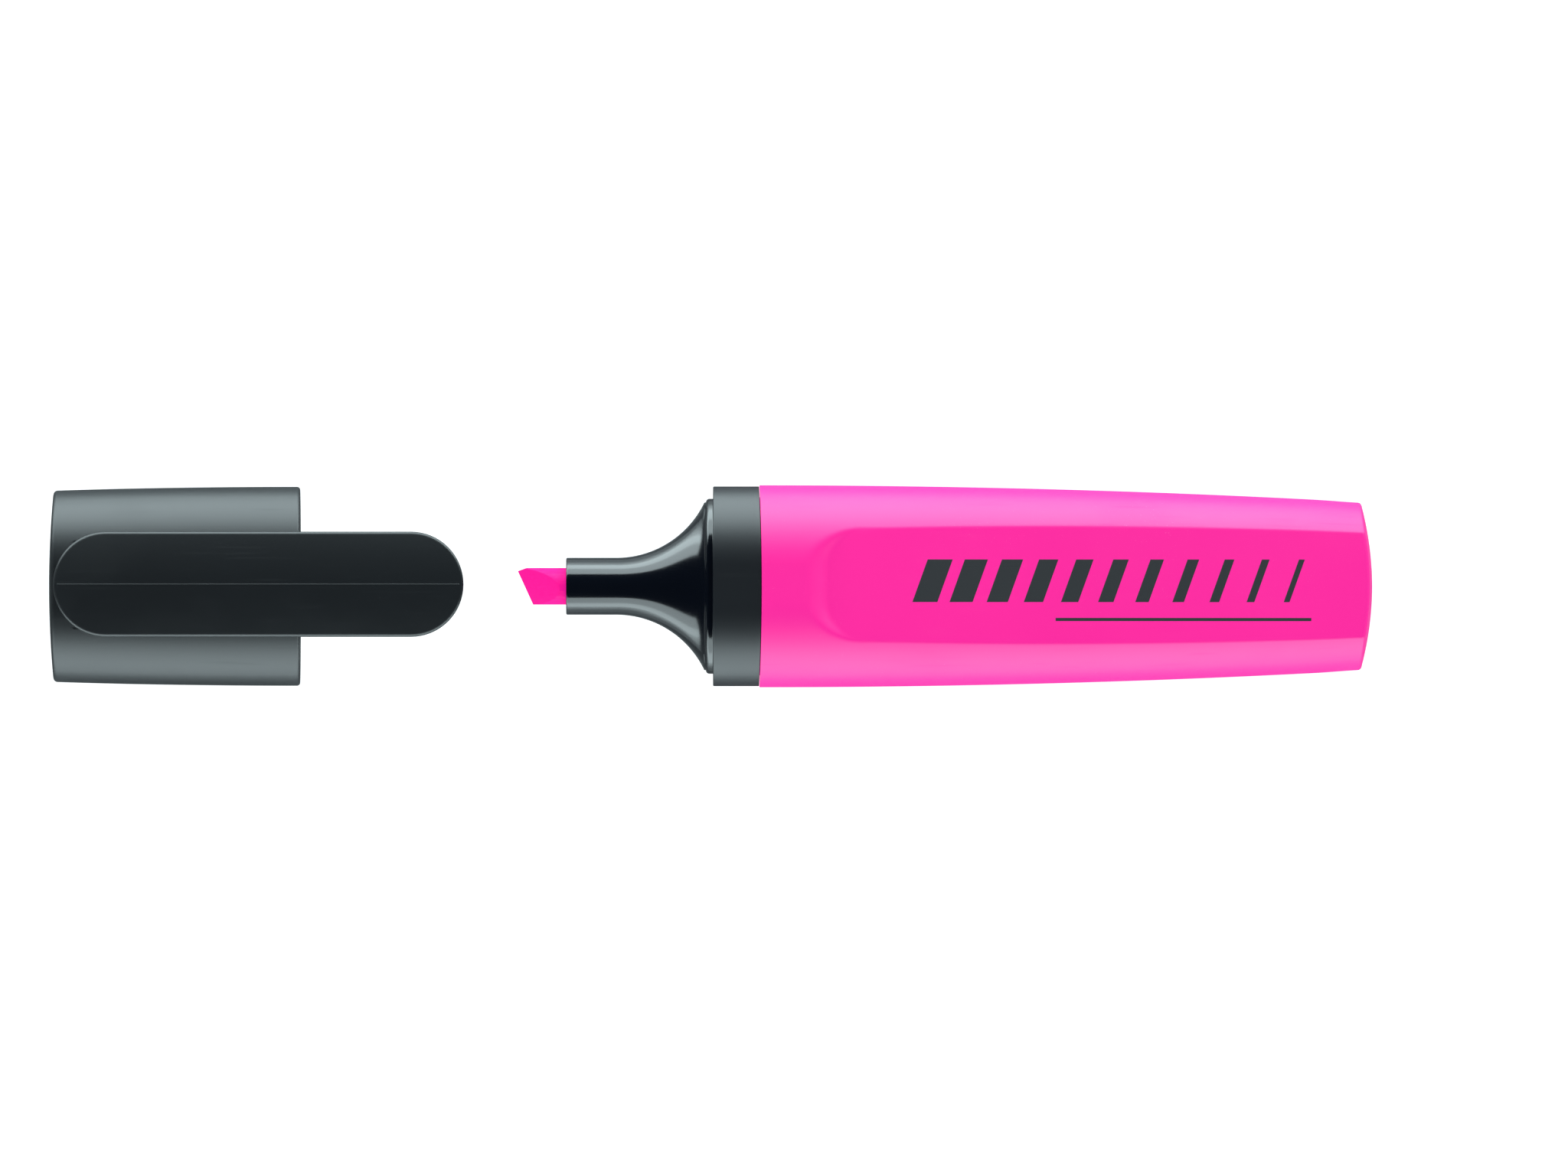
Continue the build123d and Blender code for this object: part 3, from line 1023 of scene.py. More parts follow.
@dataclass(frozen=True)
class InkedFibre:
    """Bonded fibre soaked with ink, seen as strands and pores.

    Attributes:
        name: The material's name.
        colour: Colour of the strands.
        deep: Darker colour in the pores, painted shade in the low places between strands.
        glow: Colour of a fixed emission, a painted glow that stands in for the fluorescent ink's
            brightness.
        strength: Strength of that painted glow.
        depth: Depth of the pores in metres.
        cells: Strands per metre.
        specular: Share of the usual reflection that the wet strands give.
        roughness: Roughness in the pores.
        polish: How much less rough the strands are.
    """

    name: str
    colour: Colour
    deep: Colour
    glow: Colour = (1.0, 0.02, 0.3)
    strength: float = 0.0
    depth: float = 0.05 * MM
    cells: float = 3800.0
    specular: float = 0.5
    roughness: float = 0.8
    polish: float = 0.25

    def make(self, effects: Effects) -> bpy.types.Material:
        """Build the material.

        Args:
            effects: The shared groups.

        Returns:
            The material.
        """
        shader = Shader(self.name)
        # Painted glow: a fixed emission that stands in for the fluorescent ink's brightness.
        shader.surface.inputs["Emission Color"].default_value = (*self.glow, 1.0)
        shader.surface.inputs["Emission Strength"].default_value = self.strength
        shader.surface.inputs["Specular IOR Level"].default_value = self.specular
        fibres = shader.effect(effects.fibres, Cells=self.cells)
        # The darker colour goes where the fibres sit low: painted shade in the pores.
        shader.link(shader.mix(fibres["Shade"], self.deep, self.colour), "Base Color")
        shader.link(fibres["Shade"] * -self.polish + self.roughness, "Roughness")
        shader.bump(fibres["Height"], self.depth)
        return shader.material


@dataclass(frozen=True)
class ClearFilm:
    """Thin clear film with faint creases.

    Attributes:
        name: The material's name.
        colour: Its tint.
        dust: Colour of the dust on it.
        transmission: Share of the light that passes through.
        creases: Depth of the creases in metres.
    """

    name: str
    colour: Colour = (0.85, 0.88, 0.9)
    dust: Colour = (0.6, 0.6, 0.6)
    transmission: float = 0.7
    creases: float = 0.02 * MM

    def make(self, effects: Effects) -> bpy.types.Material:
        """Build the material.

        Args:
            effects: The shared groups.

        Returns:
            The material.
        """
        shader = Shader(self.name)
        shader.surface.inputs["Transmission Weight"].default_value = self.transmission
        handled = shader.effect(effects.handling, Roughness=0.08, Smudge=0.1, Hairlines=0.2)
        grain = shader.effect(effects.grain, Cells=900.0, Fine=1.0, Slow=2.0)
        shader.link(shader.mix(handled["Dust"], self.colour, self.dust), "Base Color")
        shader.link(handled["Roughness"], "Roughness")
        shader.bump(grain["Height"], self.creases)
        return shader.material


# The barrel's emission is a painted glow that stands in for its fluorescent pink.
PINK_PLASTIC = MouldedPlastic(
    "pink_barrel_plastic", (0.62, 0.002, 0.120), (0.60, 0.001, 0.115), 0.54, smudge=0.03,
    dust=(0.9, 0.3, 0.55), glow=(1.0, 0.003, 0.68), glow_strength=0.25,
)
PRINT_INK = PrintedInk((0.006, 0.006, 0.008))
GLOSS_BLACK = MouldedPlastic(
    "gloss_black_plastic", (0.0016, 0.0022, 0.0042), (0.0012, 0.0017, 0.0035), 0.13,
    smudge=0.02, hairlines=0.03, grain=0.0012 * MM, satin=0.31, satin_from=0.2 * MM,
)
SATIN_BLACK = MouldedPlastic(
    "satin_black_plastic", (0.0018, 0.0026, 0.0040), (0.0014, 0.0020, 0.0032), 0.44,
    smudge=0.03, hairlines=0.04, grain=0.0028 * MM, cells=3600.0,
)
CLIP_BLACK = MouldedPlastic(
    "clip_black_plastic", (0.0018, 0.0026, 0.0040), (0.0014, 0.0020, 0.0032), 0.42,
    smudge=0.03, hairlines=0.04, grain=0.003 * MM, cells=3600.0,
)
LINER_GREY = MouldedPlastic(
    "liner_grey_plastic", (0.33, 0.34, 0.35), (0.29, 0.30, 0.31), 0.4, dust=(0.5, 0.5, 0.5),
)
# The nib's emission is a painted glow that stands in for its fluorescent ink.
NIB_FIBRE = InkedFibre(
    "nib_fibre", (0.74, 0.001, 0.10), (0.60, 0.0, 0.08), glow=(1.0, 0.0, 0.65), strength=0.30,
    specular=0.15, depth=0.02 * MM,
)
INK_FIBRE = InkedFibre("ink_fibre", (0.9, 0.03, 0.32), (0.7, 0.005, 0.2), cells=1600.0)
CLEAR_FILM = ClearFilm("clear_film")


# ---------------------------------------------------------------- sub-assemblies


@dataclass
class Barrel:
    """Oval barrel with a closed domed rear end and a flat printed panel.

    Attributes:
        wall: Wall thickness.
        lip: Radius of the front lip's edge.
        edge: Radius round the rear end.
        rear_wall: Thickness of the rear end.
        bow_radius: Radius of the front end's bow, seen from above.
        dome_radius: Radius of the rear end's dome.
        panel_setback: How far behind the front the panel starts.
        front_height: Height of the panel at its start.
        rear_height: Height of the panel at the rear end.
        steps: Crown steps and side steps of each quarter of its section.
        low: Lowest corner of its CAD solid.
        high: Highest corner of its CAD solid.
    """

    wall: float = 1.5 * MM
    lip: float = 0.1 * MM
    edge: float = 0.35 * MM
    rear_wall: float = 1.8 * MM
    bow_radius: float = BOW_RADIUS
    dome_radius: float = 40 * MM
    panel_setback: float = 8.4 * MM
    front_height: float = 15.073 * MM
    rear_height: float = 13.871 * MM
    steps: tuple[int, int] = (64, 12)
    low: Vector = field(default_factory=lambda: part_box("barrel_shell")[0])
    high: Vector = field(default_factory=lambda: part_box("barrel_shell")[1])

    @property
    def front(self) -> float:
        """Station of the front lip's middle."""
        return self.low.x + self.high.y**2 / (2 * self.bow_radius)

    def outline(self) -> list[tuple[float, float, float]]:
        """Wall from the inner pole, out over the front lip and back to the rear pole.

        Returns:
            (station, depth, drawn in) for each row of the grid.
        """
        front, rear = self.front, self.high.x
        bottom = rear - self.rear_wall
        points = [(bottom, self.wall, share) for share in (1.0, 0.7, 0.35, 0.0)]
        points += [(x, self.wall, 0.0) for x in spread(bottom, front + HOLD, 2.6 * MM)[1:]]
        points += [(front, self.wall - HOLD, 0.0), (front, self.wall / 2, 0.0)]
        for sine, cosine in quarter_turn(3):
            points.append((front + self.lip * (1 - cosine), self.lip * (1 - sine), 0.0))
        start = front + self.panel_setback
        straight = rear - self.edge
        # first row, last row and step: close together at the panel's front end
        runs = [
            (front + 0.25 * MM, start - 3.6 * MM, 1.3 * MM),
            (start - 3.3 * MM, start + 6.6 * MM, 0.15 * MM),
            (start + 7 * MM, rear - 4 * MM, 1.7 * MM),
            (rear - 3.5 * MM, straight - HOLD, 0.7 * MM),
        ]
        points += [(x, 0.0, 0.0) for run in runs for x in spread(*run)]
        for sine, cosine in quarter_turn(5):
            points.append((straight + self.edge * sine, self.edge * (1 - cosine), 0.0))
        points += [(rear, self.edge, share / 10) for share in range(1, 11)]
        return points

    def build(self, sleeves: SleeveTree, material: bpy.types.Material) -> bpy.types.Object:
        """Sweep the barrel.

        Args:
            sleeves: The tree that sweeps it.
            material: Its material.

        Returns:
            The barrel.
        """
        front, rear = self.front, self.high.x
        section = Oval.standing(self.high.y, self.high.z)
        start = front + self.panel_setback
        rule = SleeveRule(
            reference=front,
            side_arc=1400 * MM,
            top_arc=3900 * MM,
            closed_end=rear,
            closed_bow=-1 / self.dome_radius,
            open_end=front,
            open_bow=-1 / self.bow_radius,
            bow_reach=8 * MM,
            panel_start=start,
            panel_height=self.front_height,
            panel_slope=(self.rear_height - self.front_height) / (rear - start),
        )
        mesh = sleeves.sweep("barrel", self.outline(), section, rule, material, self.steps)
        return new_object("barrel", mesh)

    def dress(self, piece: bpy.types.Object, material: bpy.types.Material) -> None:
        """Give the barrel its finish and its place."""
        place(piece, Body.BARREL, material, ["barrel_shell"])


@dataclass
class FrontSection:
    """Black front: round neck, flared shoulder, cap seat, collar and the plug in the barrel.

    Attributes:
        neck: Radius of the neck.
        neck_edge: Radius round the neck's front face.
        bore: Radius of the bore for the nib.
        vent: Radius of the air grooves beside the bore.
        tube: Radius of the space in the flare.
        flare_setback: How far behind the front face the flare starts.
        flare_radius: Radius of the flare's outline.
        flare_half: Half the flare's width and height at its widest.
        flare_side: Radius of the flare's side arcs, at its start and at its widest.
        rim_setback: How far behind the front face the cap's seat starts.
        rim: Section of the cap's seat.
        rim_round: Radius of the seat's front edge.
        collar_setback: How far behind the front face the collar starts.
        collar: Section of the collar.
        collar_length: Length of the collar.
        collar_edge: Radius of the collar's front edge.
        plug: Section of the plug in the barrel.
        hollow: Section of the space in the plug.
        bow_radius: Radius of the collar's rear end, seen from above.
        columns: Points round each ring.
        low: Lowest corner of its CAD solid.
        high: Highest corner of its CAD solid.
    """

    neck: float = 3.73 * MM
    neck_edge: float = 0.15 * MM
    bore: float = 2.43 * MM
    vent: float = 0.4 * MM
    tube: float = 3.4 * MM
    flare_setback: float = 6.56 * MM
    flare_radius: float = 12.75 * MM
    flare_half: tuple[float, float] = (10.94 * MM, 5.94 * MM)
    flare_side: tuple[float, float] = (3.4 * MM, 3.842 * MM)
    rim_setback: float = 18.26 * MM
    rim: Oval = Oval(11.44 * MM, 6.44 * MM, 4.342 * MM, 4.94 * MM, 8 * MM)
    rim_round: float = 0.45 * MM
    collar_setback: float = 19.19 * MM
    collar: Oval = Oval(13.05 * MM, 7.9 * MM, 5.925 * MM, 4.959 * MM, 8 * MM)
    collar_length: float = 6.34 * MM
    collar_edge: float = 0.15 * MM
    plug: Oval = Oval(11.65 * MM, 6.087 * MM, 4.443 * MM, 5.016 * MM, 7.636 * MM)
    hollow: Oval = Oval(10.25 * MM, 4.687 * MM, 3.043 * MM, 5.016 * MM, 7.636 * MM)
    bow_radius: float = BOW_RADIUS
    columns: int = 224
    low: Vector = field(default_factory=lambda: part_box("front_section")[0])
    high: Vector = field(default_factory=lambda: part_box("front_section")[1])

    def round_ring(self, x: float, radius: float) -> list[Vector]:
        """A round ring on the pen's axis."""
        return Oval.circle(radius, self.rim.middle).polar(x, self.columns)

    def vented_ring(self, x: float, extra: float) -> list[Vector]:
        """A ring round the bore with its four air grooves.

        Args:
            x: Station along the pen.
            extra: How much wider than the bore it is.

        Returns:
            The ring's points.
        """
        ring = []
        for index in range(self.columns):
            angle = 2 * math.pi * index / self.columns
            radius = self.bore
            off = angle % (math.pi / 2) - math.pi / 4
            if abs(off) < math.asin(self.vent / self.bore):
                reach = math.sqrt(self.vent**2 - (self.bore * math.sin(off)) ** 2)
                radius = self.bore * math.cos(off) + reach
            radius += extra
            y, z = radius * math.sin(angle), radius * math.cos(angle)
            ring.append(Vector((x, y, self.rim.middle + z)))
        return ring

    def neck_rings(self) -> list[list[Vector]]:
        """The neck, from its front face to the flare.

        Returns:
            The rings.
        """
        front, edge = self.low.x, self.neck_edge
        rings = [
            self.round_ring(front, self.neck - edge - 0.06 * MM),
            self.round_ring(front, self.neck - edge),
            self.round_ring(front + 0.3 * edge, self.neck - 0.32 * edge),
            self.round_ring(front + edge, self.neck),
        ]
        for x in spread(front + edge + HOLD, front + self.flare_setback, 1.1 * MM):
            rings.append(self.round_ring(x, self.neck))
        return rings

    def flare_rings(self) -> list[list[Vector]]:
        """The flare, from the round neck out to its widest oval.

        Returns:
            The rings.
        """
        start = self.low.x + self.flare_setback
        rise = self.flare_half[0] - self.neck
        full = math.acos(1 - rise / self.flare_radius)
        rings = []
        for turn in spread(0.0, full, full / 40)[1:]:
            share = self.flare_radius * (1 - math.cos(turn)) / rise
            half_width = self.neck + rise * share
            half_height = self.neck - 0.01 * MM + (self.flare_half[1] - self.neck) * share
            side = self.flare_side[0] + (self.flare_side[1] - self.flare_side[0]) * share
            oval = Oval(half_width, half_height, side, 0.0, self.rim.middle)
            rings.append(oval.polar(start + self.flare_radius * math.sin(turn), self.columns))
        return rings

    def seat_rings(self) -> list[list[Vector]]:
        """The cap's seat, from its rounded front edge to the foot of the collar.

        Returns:
            The rings.
        """
        rim_x = self.low.x + self.rim_setback
        collar_x = self.low.x + self.collar_setback
        rings = []
        for sine, cosine in quarter_turn(6):
            oval = self.rim.inset(self.rim_round * (1 - sine))
            rings.append(oval.polar(rim_x + self.rim_round * (1 - cosine), self.columns))
        rings.append(self.rim.polar(collar_x - HOLD, self.columns))
        rings.append(self.rim.polar(collar_x, self.columns))
        rings.append(self.rim.inset(-HOLD).polar(collar_x, self.columns))
        return rings

    def collar_rings(self) -> list[list[Vector]]:
        """The collar, from its front face to its bowed rear end.

        Returns:
            The rings.
        """
        start = self.low.x + self.collar_setback
        end = start + self.collar_length
        edge, rear_edge = self.collar_edge, 0.08 * MM
        bow = -1 / self.bow_radius
        rings = [self.collar.inset(edge + HOLD).polar(start, self.columns)]
        for sine, cosine in quarter_turn(4):
            oval = self.collar.inset(edge * (1 - sine))
            rings.append(oval.polar(start + edge * (1 - cosine), self.columns))
        for x in spread(start + edge + HOLD, end - 0.5 * MM, 1.2 * MM):
            rings.append(self.collar.polar(x, self.columns, bow * (x - start) / (end - start)))
        for sine, cosine in quarter_turn(3):
            oval = self.collar.inset(rear_edge * (1 - cosine))
            rings.append(oval.polar(end - rear_edge * (1 - sine), self.columns, bow))
        rings.append(self.collar.inset(0.7 * MM).polar(end, self.columns, bow))
        return rings

    def plug_rings(self) -> list[list[Vector]]:
        """The plug, from the collar to its chamfered rear end.

        Returns:
            The rings.
        """
        start = self.low.x + self.collar_setback + self.collar_length
        rear, chamfer = self.high.x, 0.3 * MM
        return [
            self.plug.polar(start, self.columns, -1 / self.bow_radius),
            self.plug.polar(start + 1.5 * MM, self.columns),
            self.plug.polar(rear - chamfer, self.columns),
            self.plug.inset(chamfer).polar(rear, self.columns),
        ]

    def inside(self) -> list[list[Vector]]:
        """Rings from the plug's rear end through the hollow and the bore to the front face.

        Returns:
            The rings.
        """
        front, rear = self.low.x, self.high.x
        throat = front + 17.9 * MM
        tube_end = rear - 7 * MM
        vents = front + 14.88 * MM
        rings = [
            self.hollow.polar(rear, self.columns),
            self.hollow.polar(throat + 2 * MM, self.columns),
            self.round_ring(throat, self.tube + HOLD),
            self.round_ring(throat + HOLD, self.tube),
            self.round_ring(tube_end, self.tube),
            self.round_ring(tube_end, self.bore),
            self.round_ring(vents, self.bore),
            self.vented_ring(vents, 0.0),
        ]
        rings += [self.vented_ring(x, 0.0) for x in spread(vents, front + HOLD, 3 * MM)[1:]]
        rings.append(self.vented_ring(front + 0.04 * MM, 0.012 * MM))
        rings.append(self.vented_ring(front, 0.05 * MM))
        return rings

    def build(self) -> bpy.types.Object:
        """Skin the whole section as one closed shape.

        Returns:
            The section.
        """
        rings = self.neck_rings() + self.flare_rings() + self.seat_rings()
        rings += self.collar_rings() + self.plug_rings() + self.inside()
        mesh = skin("front_section_black", rings, Ends.JOINED)
        return new_object("front_section_black", mesh)

    def dress(self, piece: bpy.types.Object, material: bpy.types.Material) -> None:
        """Give the section its finish and its place."""
        place(piece, Body.BARREL, material, ["front_section"])


@dataclass
class Nib:
    """Round fibre rod, cut to a slanted chisel.

    Attributes:
        top: Corner of the writing edge at +Y, across the pen.
        bottom: Corner at -Y.
        angle: Half the angle between the two facets, in degrees.
        half_edge: Half the blunt writing edge's thickness.
        corner: Two ends of the line that trims the corner at +Y.
        cut_from: Station behind which the rod is left round.
        tail_chamfer: Chamfer round its rear end.
        softened: Width of the softened edges.
        crease: Edges that turn by more than this angle, in radians, are softened.
        soften_to: They are softened ahead of this station.
        columns: Points round the rod.
        low: Lowest corner of its CAD solid.
        high: Highest corner of its CAD solid.
    """

    top: tuple[float, float] = (-25.22 * MM, 2.05 * MM)
    bottom: tuple[float, float] = (-23.28 * MM, -2.2 * MM)
    angle: float = 29.5
    half_edge: float = 0.14 * MM
    corner: tuple[tuple[float, float], ...] = ((-25.19 * MM, 1.97 * MM), (-24.05 * MM, 2.38 * MM))
    cut_from: float = -20 * MM
    tail_chamfer: float = 0.7 * MM
    softened: float = 0.16 * MM
    crease: float = 0.3
    soften_to: float = -15 * MM
    columns: int = 96
    low: Vector = field(default_factory=lambda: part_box("nib")[0])
    high: Vector = field(default_factory=lambda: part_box("nib")[1])

    def rod(self) -> bmesh.types.BMesh:
        """Make the uncut rod, with its chamfered tail.

        Returns:
            The rod.
        """
        radius = (self.high.z - self.low.z) / 2
        middle = (self.high.z + self.low.z) / 2
        circle = Oval.circle(radius, middle)
        cut = self.cut_from
        stations = spread(self.low.x - MM, cut, 4 * MM) + spread(cut, 0.0, 5 * MM)[1:]
        stations.append(self.high.x - self.tail_chamfer)
        rings = [circle.polar(x, self.columns) for x in stations]
        rings.append(circle.inset(self.tail_chamfer).polar(self.high.x, self.columns))
        mesh = skin("nib_rod", rings, Ends.FILLED)
        shape = bmesh.new()
        shape.from_mesh(mesh)
        bpy.data.meshes.remove(mesh)
        return shape

    def cuts(self) -> list[tuple[Vector, Vector]]:
        """Find the planes that cut the rod to its chisel.

        Returns:
            (point, outward normal) of the front plane, the corner and the two facets.
        """
        middle = (self.high.z + self.low.z) / 2
        (top_x, top_y), (bottom_x, bottom_y) = self.top, self.bottom
        along = Vector((bottom_x - top_x, bottom_y - top_y, 0)).normalized()
        back = Vector((-along.y, along.x, 0))
        point = Vector(((top_x + bottom_x) / 2, (top_y + bottom_y) / 2, middle))
        first, second = (Vector((*end, middle)) for end in self.corner)
        rise = second - first
        found = [(point, -back), (first, Vector((-rise.y, rise.x, 0)))]
        lean = math.radians(self.angle)
        for side in (-1, 1):
            normal = back * -math.sin(lean) + Vector((0, 0, side * math.cos(lean)))
            found.append((point + Vector((0, 0, side * self.half_edge)), normal))
        return found

    def build(self) -> bpy.types.Object:
        """Cut the rod to its chisel and soften the edges.

        Returns:
            The nib.
        """
        shape = self.rod()
        for where, normal in self.cuts():
            found = bmesh.ops.bisect_plane(
                shape,
                geom=shape.verts[:] + shape.edges[:] + shape.faces[:],
                dist=1e-8,
                plane_co=where,
                plane_no=normal,
                clear_outer=True,
            )
            rim = [item for item in found["geom_cut"] if isinstance(item, bmesh.types.BMEdge)]
            bmesh.ops.edgeloop_fill(shape, edges=rim)
        edges = []
        for edge in shape.edges:
            faces = edge.link_faces
            if len(faces) == 2 and faces[0].normal.angle(faces[1].normal, 0.0) > self.crease:
                if max(vert.co.x for vert in edge.verts) < self.soften_to:
                    edges.append(edge)
        bmesh.ops.bevel(
            shape, geom=edges, offset=self.softened, segments=3, profile=0.5,
            affect="EDGES", clamp_overlap=True,
        )
        mesh = bpy.data.meshes.new("nib_chisel")
        shape.to_mesh(mesh)
        shape.free()
        tidy_mesh(mesh, 1e-6)
        mesh.set_sharp_from_angle(angle=math.radians(30))
        return new_object("nib_chisel", mesh)

    def dress(self, piece: bpy.types.Object, material: bpy.types.Material) -> None:
        """Give the nib its finish and its place."""
        place(piece, Body.BARREL, material, ["nib"])


@dataclass
class Cap:
    """Hollow oval cap with its closed end slightly domed, and a boss for the clip's heel.

    Attributes:
        wall: Wall thickness.
        end_wall: Thickness of the closed end.
        edge: Radius round the closed end.
        lip: Radius of the mouth's outer edge.
        dome_radius: Radius of the closed end's dome.
        hinge: Station and height of the clip's axis.
        boss: Length, width and lowest point of the boss round that axis.
        pocket: Radius and width of the pocket for the clip's heel.
        socket: Outer radius, inner radius and reach of the inner cap's socket.
        steps: Crown steps and side steps of each quarter of its section.
        low: Lowest corner of its CAD solid.
        high: Highest corner of its CAD solid.
    """

    wall: float = 1.5 * MM
    end_wall: float = 1.8 * MM
    edge: float = 0.5 * MM
    lip: float = 0.4 * MM
    dome_radius: float = 130 * MM
    hinge: tuple[float, float] = CLIP_HINGE
    boss: tuple[float, float, float] = (7 * MM, 11.6 * MM, 13 * MM)
    pocket: tuple[float, float] = (1.6 * MM, 9.2 * MM)
    socket: tuple[float, float, float] = (6.04 * MM, 4.89 * MM, 11.42 * MM)
    steps: tuple[int, int] = (20, 12)
    low: Vector = field(default_factory=lambda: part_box("cap_shell")[0])
    high: Vector = field(default_factory=lambda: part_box("cap_shell")[1])

    def outline(self) -> list[tuple[float, float, float]]:
        """Wall from the inner pole, out over the mouth and back to the closed end's pole.

        Returns:
            (station, depth, drawn in) for each row of the grid.
        """
        mouth, end = self.high.x, self.low.x
        bottom = end + self.end_wall
        points = [(bottom, self.wall, share) for share in (1.0, 0.7, 0.35, 0.0)]
        points += [(x, self.wall, 0.0) for x in spread(bottom, mouth - 0.2 * MM, 2.5 * MM)[1:]]
        points += [(mouth - 0.05 * MM, self.wall, 0.0), (mouth, self.wall - 0.05 * MM, 0.0)]
        points.append((mouth, self.lip + 0.1 * MM, 0.0))
        for sine, cosine in quarter_turn(6):
            points.append((mouth - self.lip * (1 - cosine), self.lip * (1 - sine), 0.0))
        straight = end + self.edge
        run = spread(mouth - self.lip - 0.12 * MM, straight + 0.12 * MM, 1.6 * MM)
        points += [(x, 0.0, 0.0) for x in run]
        for sine, cosine in quarter_turn(6):
            points.append((straight - self.edge * sine, self.edge * (1 - cosine), 0.0))
        points.append((end, self.edge, 0.015))
        points += [(end, self.edge, share / 10) for share in range(1, 11)]
        return points

    def build(self, sleeves: SleeveTree, material: bpy.types.Material) -> bpy.types.Object:
        """Sweep the cap, then add its boss and socket and cut the pocket.

        Args:
            sleeves: The tree that sweeps it.
            material: Its material.

        Returns:
            The cap.
        """
        mouth, end = self.high.x, self.low.x
        section = Oval.standing(self.high.y, self.high.z)
        rule = SleeveRule(
            reference=mouth,
            side_arc=1080 * MM,
            top_arc=2150 * MM,
            closed_end=end,
            closed_bow=1 / self.dome_radius,
            open_end=mouth,
        )
        mesh = sleeves.sweep("cap", self.outline(), section, rule, material, self.steps)
        cap = new_object("cap", mesh)
        length, width, low = self.boss
        block = bmesh.new()
        bmesh.ops.create_cube(block, size=1.0)
        for vert in block.verts:
            vert.co.x = self.hinge[0] + vert.co.x * length
            vert.co.y *= width
            vert.co.z = low + (vert.co.z + 0.5) * (self.hinge[1] - low)
        boss = bpy.data.meshes.new("cap_boss")
        block.to_mesh(boss)
        block.free()
        outer, inner, reach = self.socket
        rings = [
            Oval.circle(radius, section.middle).polar(x, 64)
            for radius, x in (
                (outer, end + self.end_wall / 2),
                (outer, end + reach),
                (inner, end + reach),
                (inner, end + self.end_wall / 2),
            )
        ]
        ring = skin("cap_socket", rings, Ends.JOINED)
        radius, span = self.pocket
        tool = bar_across("cap_pocket", self.hinge, radius, span, 48)
        for operation, part in (("UNION", boss), ("UNION", ring), ("DIFFERENCE", tool)):
            self._combine(cap, part, operation)
        cap.data.set_sharp_from_angle(angle=math.radians(35))
        return cap

    @staticmethod
    def _combine(cap: bpy.types.Object, part: bpy.types.Mesh, operation: str) -> None:
        """Join or cut the cap with another closed mesh.

        Args:
            cap: The cap.
            part: The other mesh, which is removed.
            operation: The Boolean modifier's operation.
        """
        other = new_object(part.name, part)
        modifier = cap.modifiers.new("combine", "BOOLEAN")
        modifier.operation = operation
        modifier.solver = "EXACT"
        modifier.object = other
        depsgraph = bpy.context.evaluated_depsgraph_get()
        mesh = bpy.data.meshes.new_from_object(cap.evaluated_get(depsgraph))
        cap.modifiers.remove(modifier)
        cap.data = mesh
        bpy.data.objects.remove(other)
        bpy.data.meshes.remove(part)

    def dress(self, piece: bpy.types.Object, material: bpy.types.Material) -> None:
        """Give the cap its finish and its place."""
        place(piece, Body.CAP, material, ["cap_shell"])


def bar_across(
    name: str, middle: tuple[float, float], radius: float, span: float, count: int
) -> bpy.types.Mesh:
    """A round bar that lies across the pen.

    Args:
        name: The mesh's name.
        middle: Its axis's x and z.
        radius: Its radius.
        span: Its length along Y.
        count: Points round it.

    Returns:
        The mesh.
    """
    rings = []
    for y in (-span / 2, span / 2):
        turns = [2 * math.pi * index / count for index in range(count)]
        rings.append([
            Vector((middle[0] + radius * math.cos(t), y, middle[1] + radius * math.sin(t)))
            for t in turns
        ])
    return skin(name, rings, Ends.FILLED)


@dataclass
class InnerCap:
    """Round inner cap that closes over the neck.

    Attributes:
        bore: Radius of its bore.
        floor: Thickness of its bottom.
        lead: Size of the chamfers at its mouth.
        low: Lowest corner of its CAD solid.
        high: Highest corner of its CAD solid.
    """

    bore: float = 3.77 * MM
    floor: float = 1.0 * MM
    lead: float = 0.35 * MM
    low: Vector = field(default_factory=lambda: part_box("cap_liner")[0])
    high: Vector = field(default_factory=lambda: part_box("cap_liner")[1])

    def build(self) -> bpy.types.Object:
        """Turn the cup from its profile.

        Returns:
            The inner cap.
        """
        outer = (self.high.y - self.low.y) / 2
        middle = (self.high.z + self.low.z) / 2
        bottom, mouth = self.low.x, self.high.x
        inside = bottom + self.floor
        profile = [(bottom, outer * share) for share in (0.1, 0.5, 0.96)]
        profile += [(bottom + 0.1 * MM, outer), (bottom + 0.3 * MM, outer)]
        profile += [(mouth - self.lead - 0.2 * MM, outer), (mouth - self.lead, outer)]
        profile += [(mouth, outer - self.lead), (mouth, self.bore + self.lead)]
        profile += [(mouth - self.lead, self.bore), (mouth - self.lead - 0.2 * MM, self.bore)]
        profile += [(inside + 0.2 * MM, self.bore), (inside, self.bore - 0.2 * MM)]
        profile += [(inside, self.bore * share) for share in (0.8, 0.4, 0.1)]
        rings = [Oval.circle(radius, middle).polar(x, 96) for x, radius in profile]
        mesh = skin("inner_cap", rings, Ends.FILLED)
        mesh.set_sharp_from_angle(angle=math.radians(35))
        return new_object("inner_cap", mesh)

    def dress(self, piece: bpy.types.Object, material: bpy.types.Material) -> None:
        """Give the inner cap its finish and its place."""
        place(piece, Body.CAP, material, ["cap_liner"])


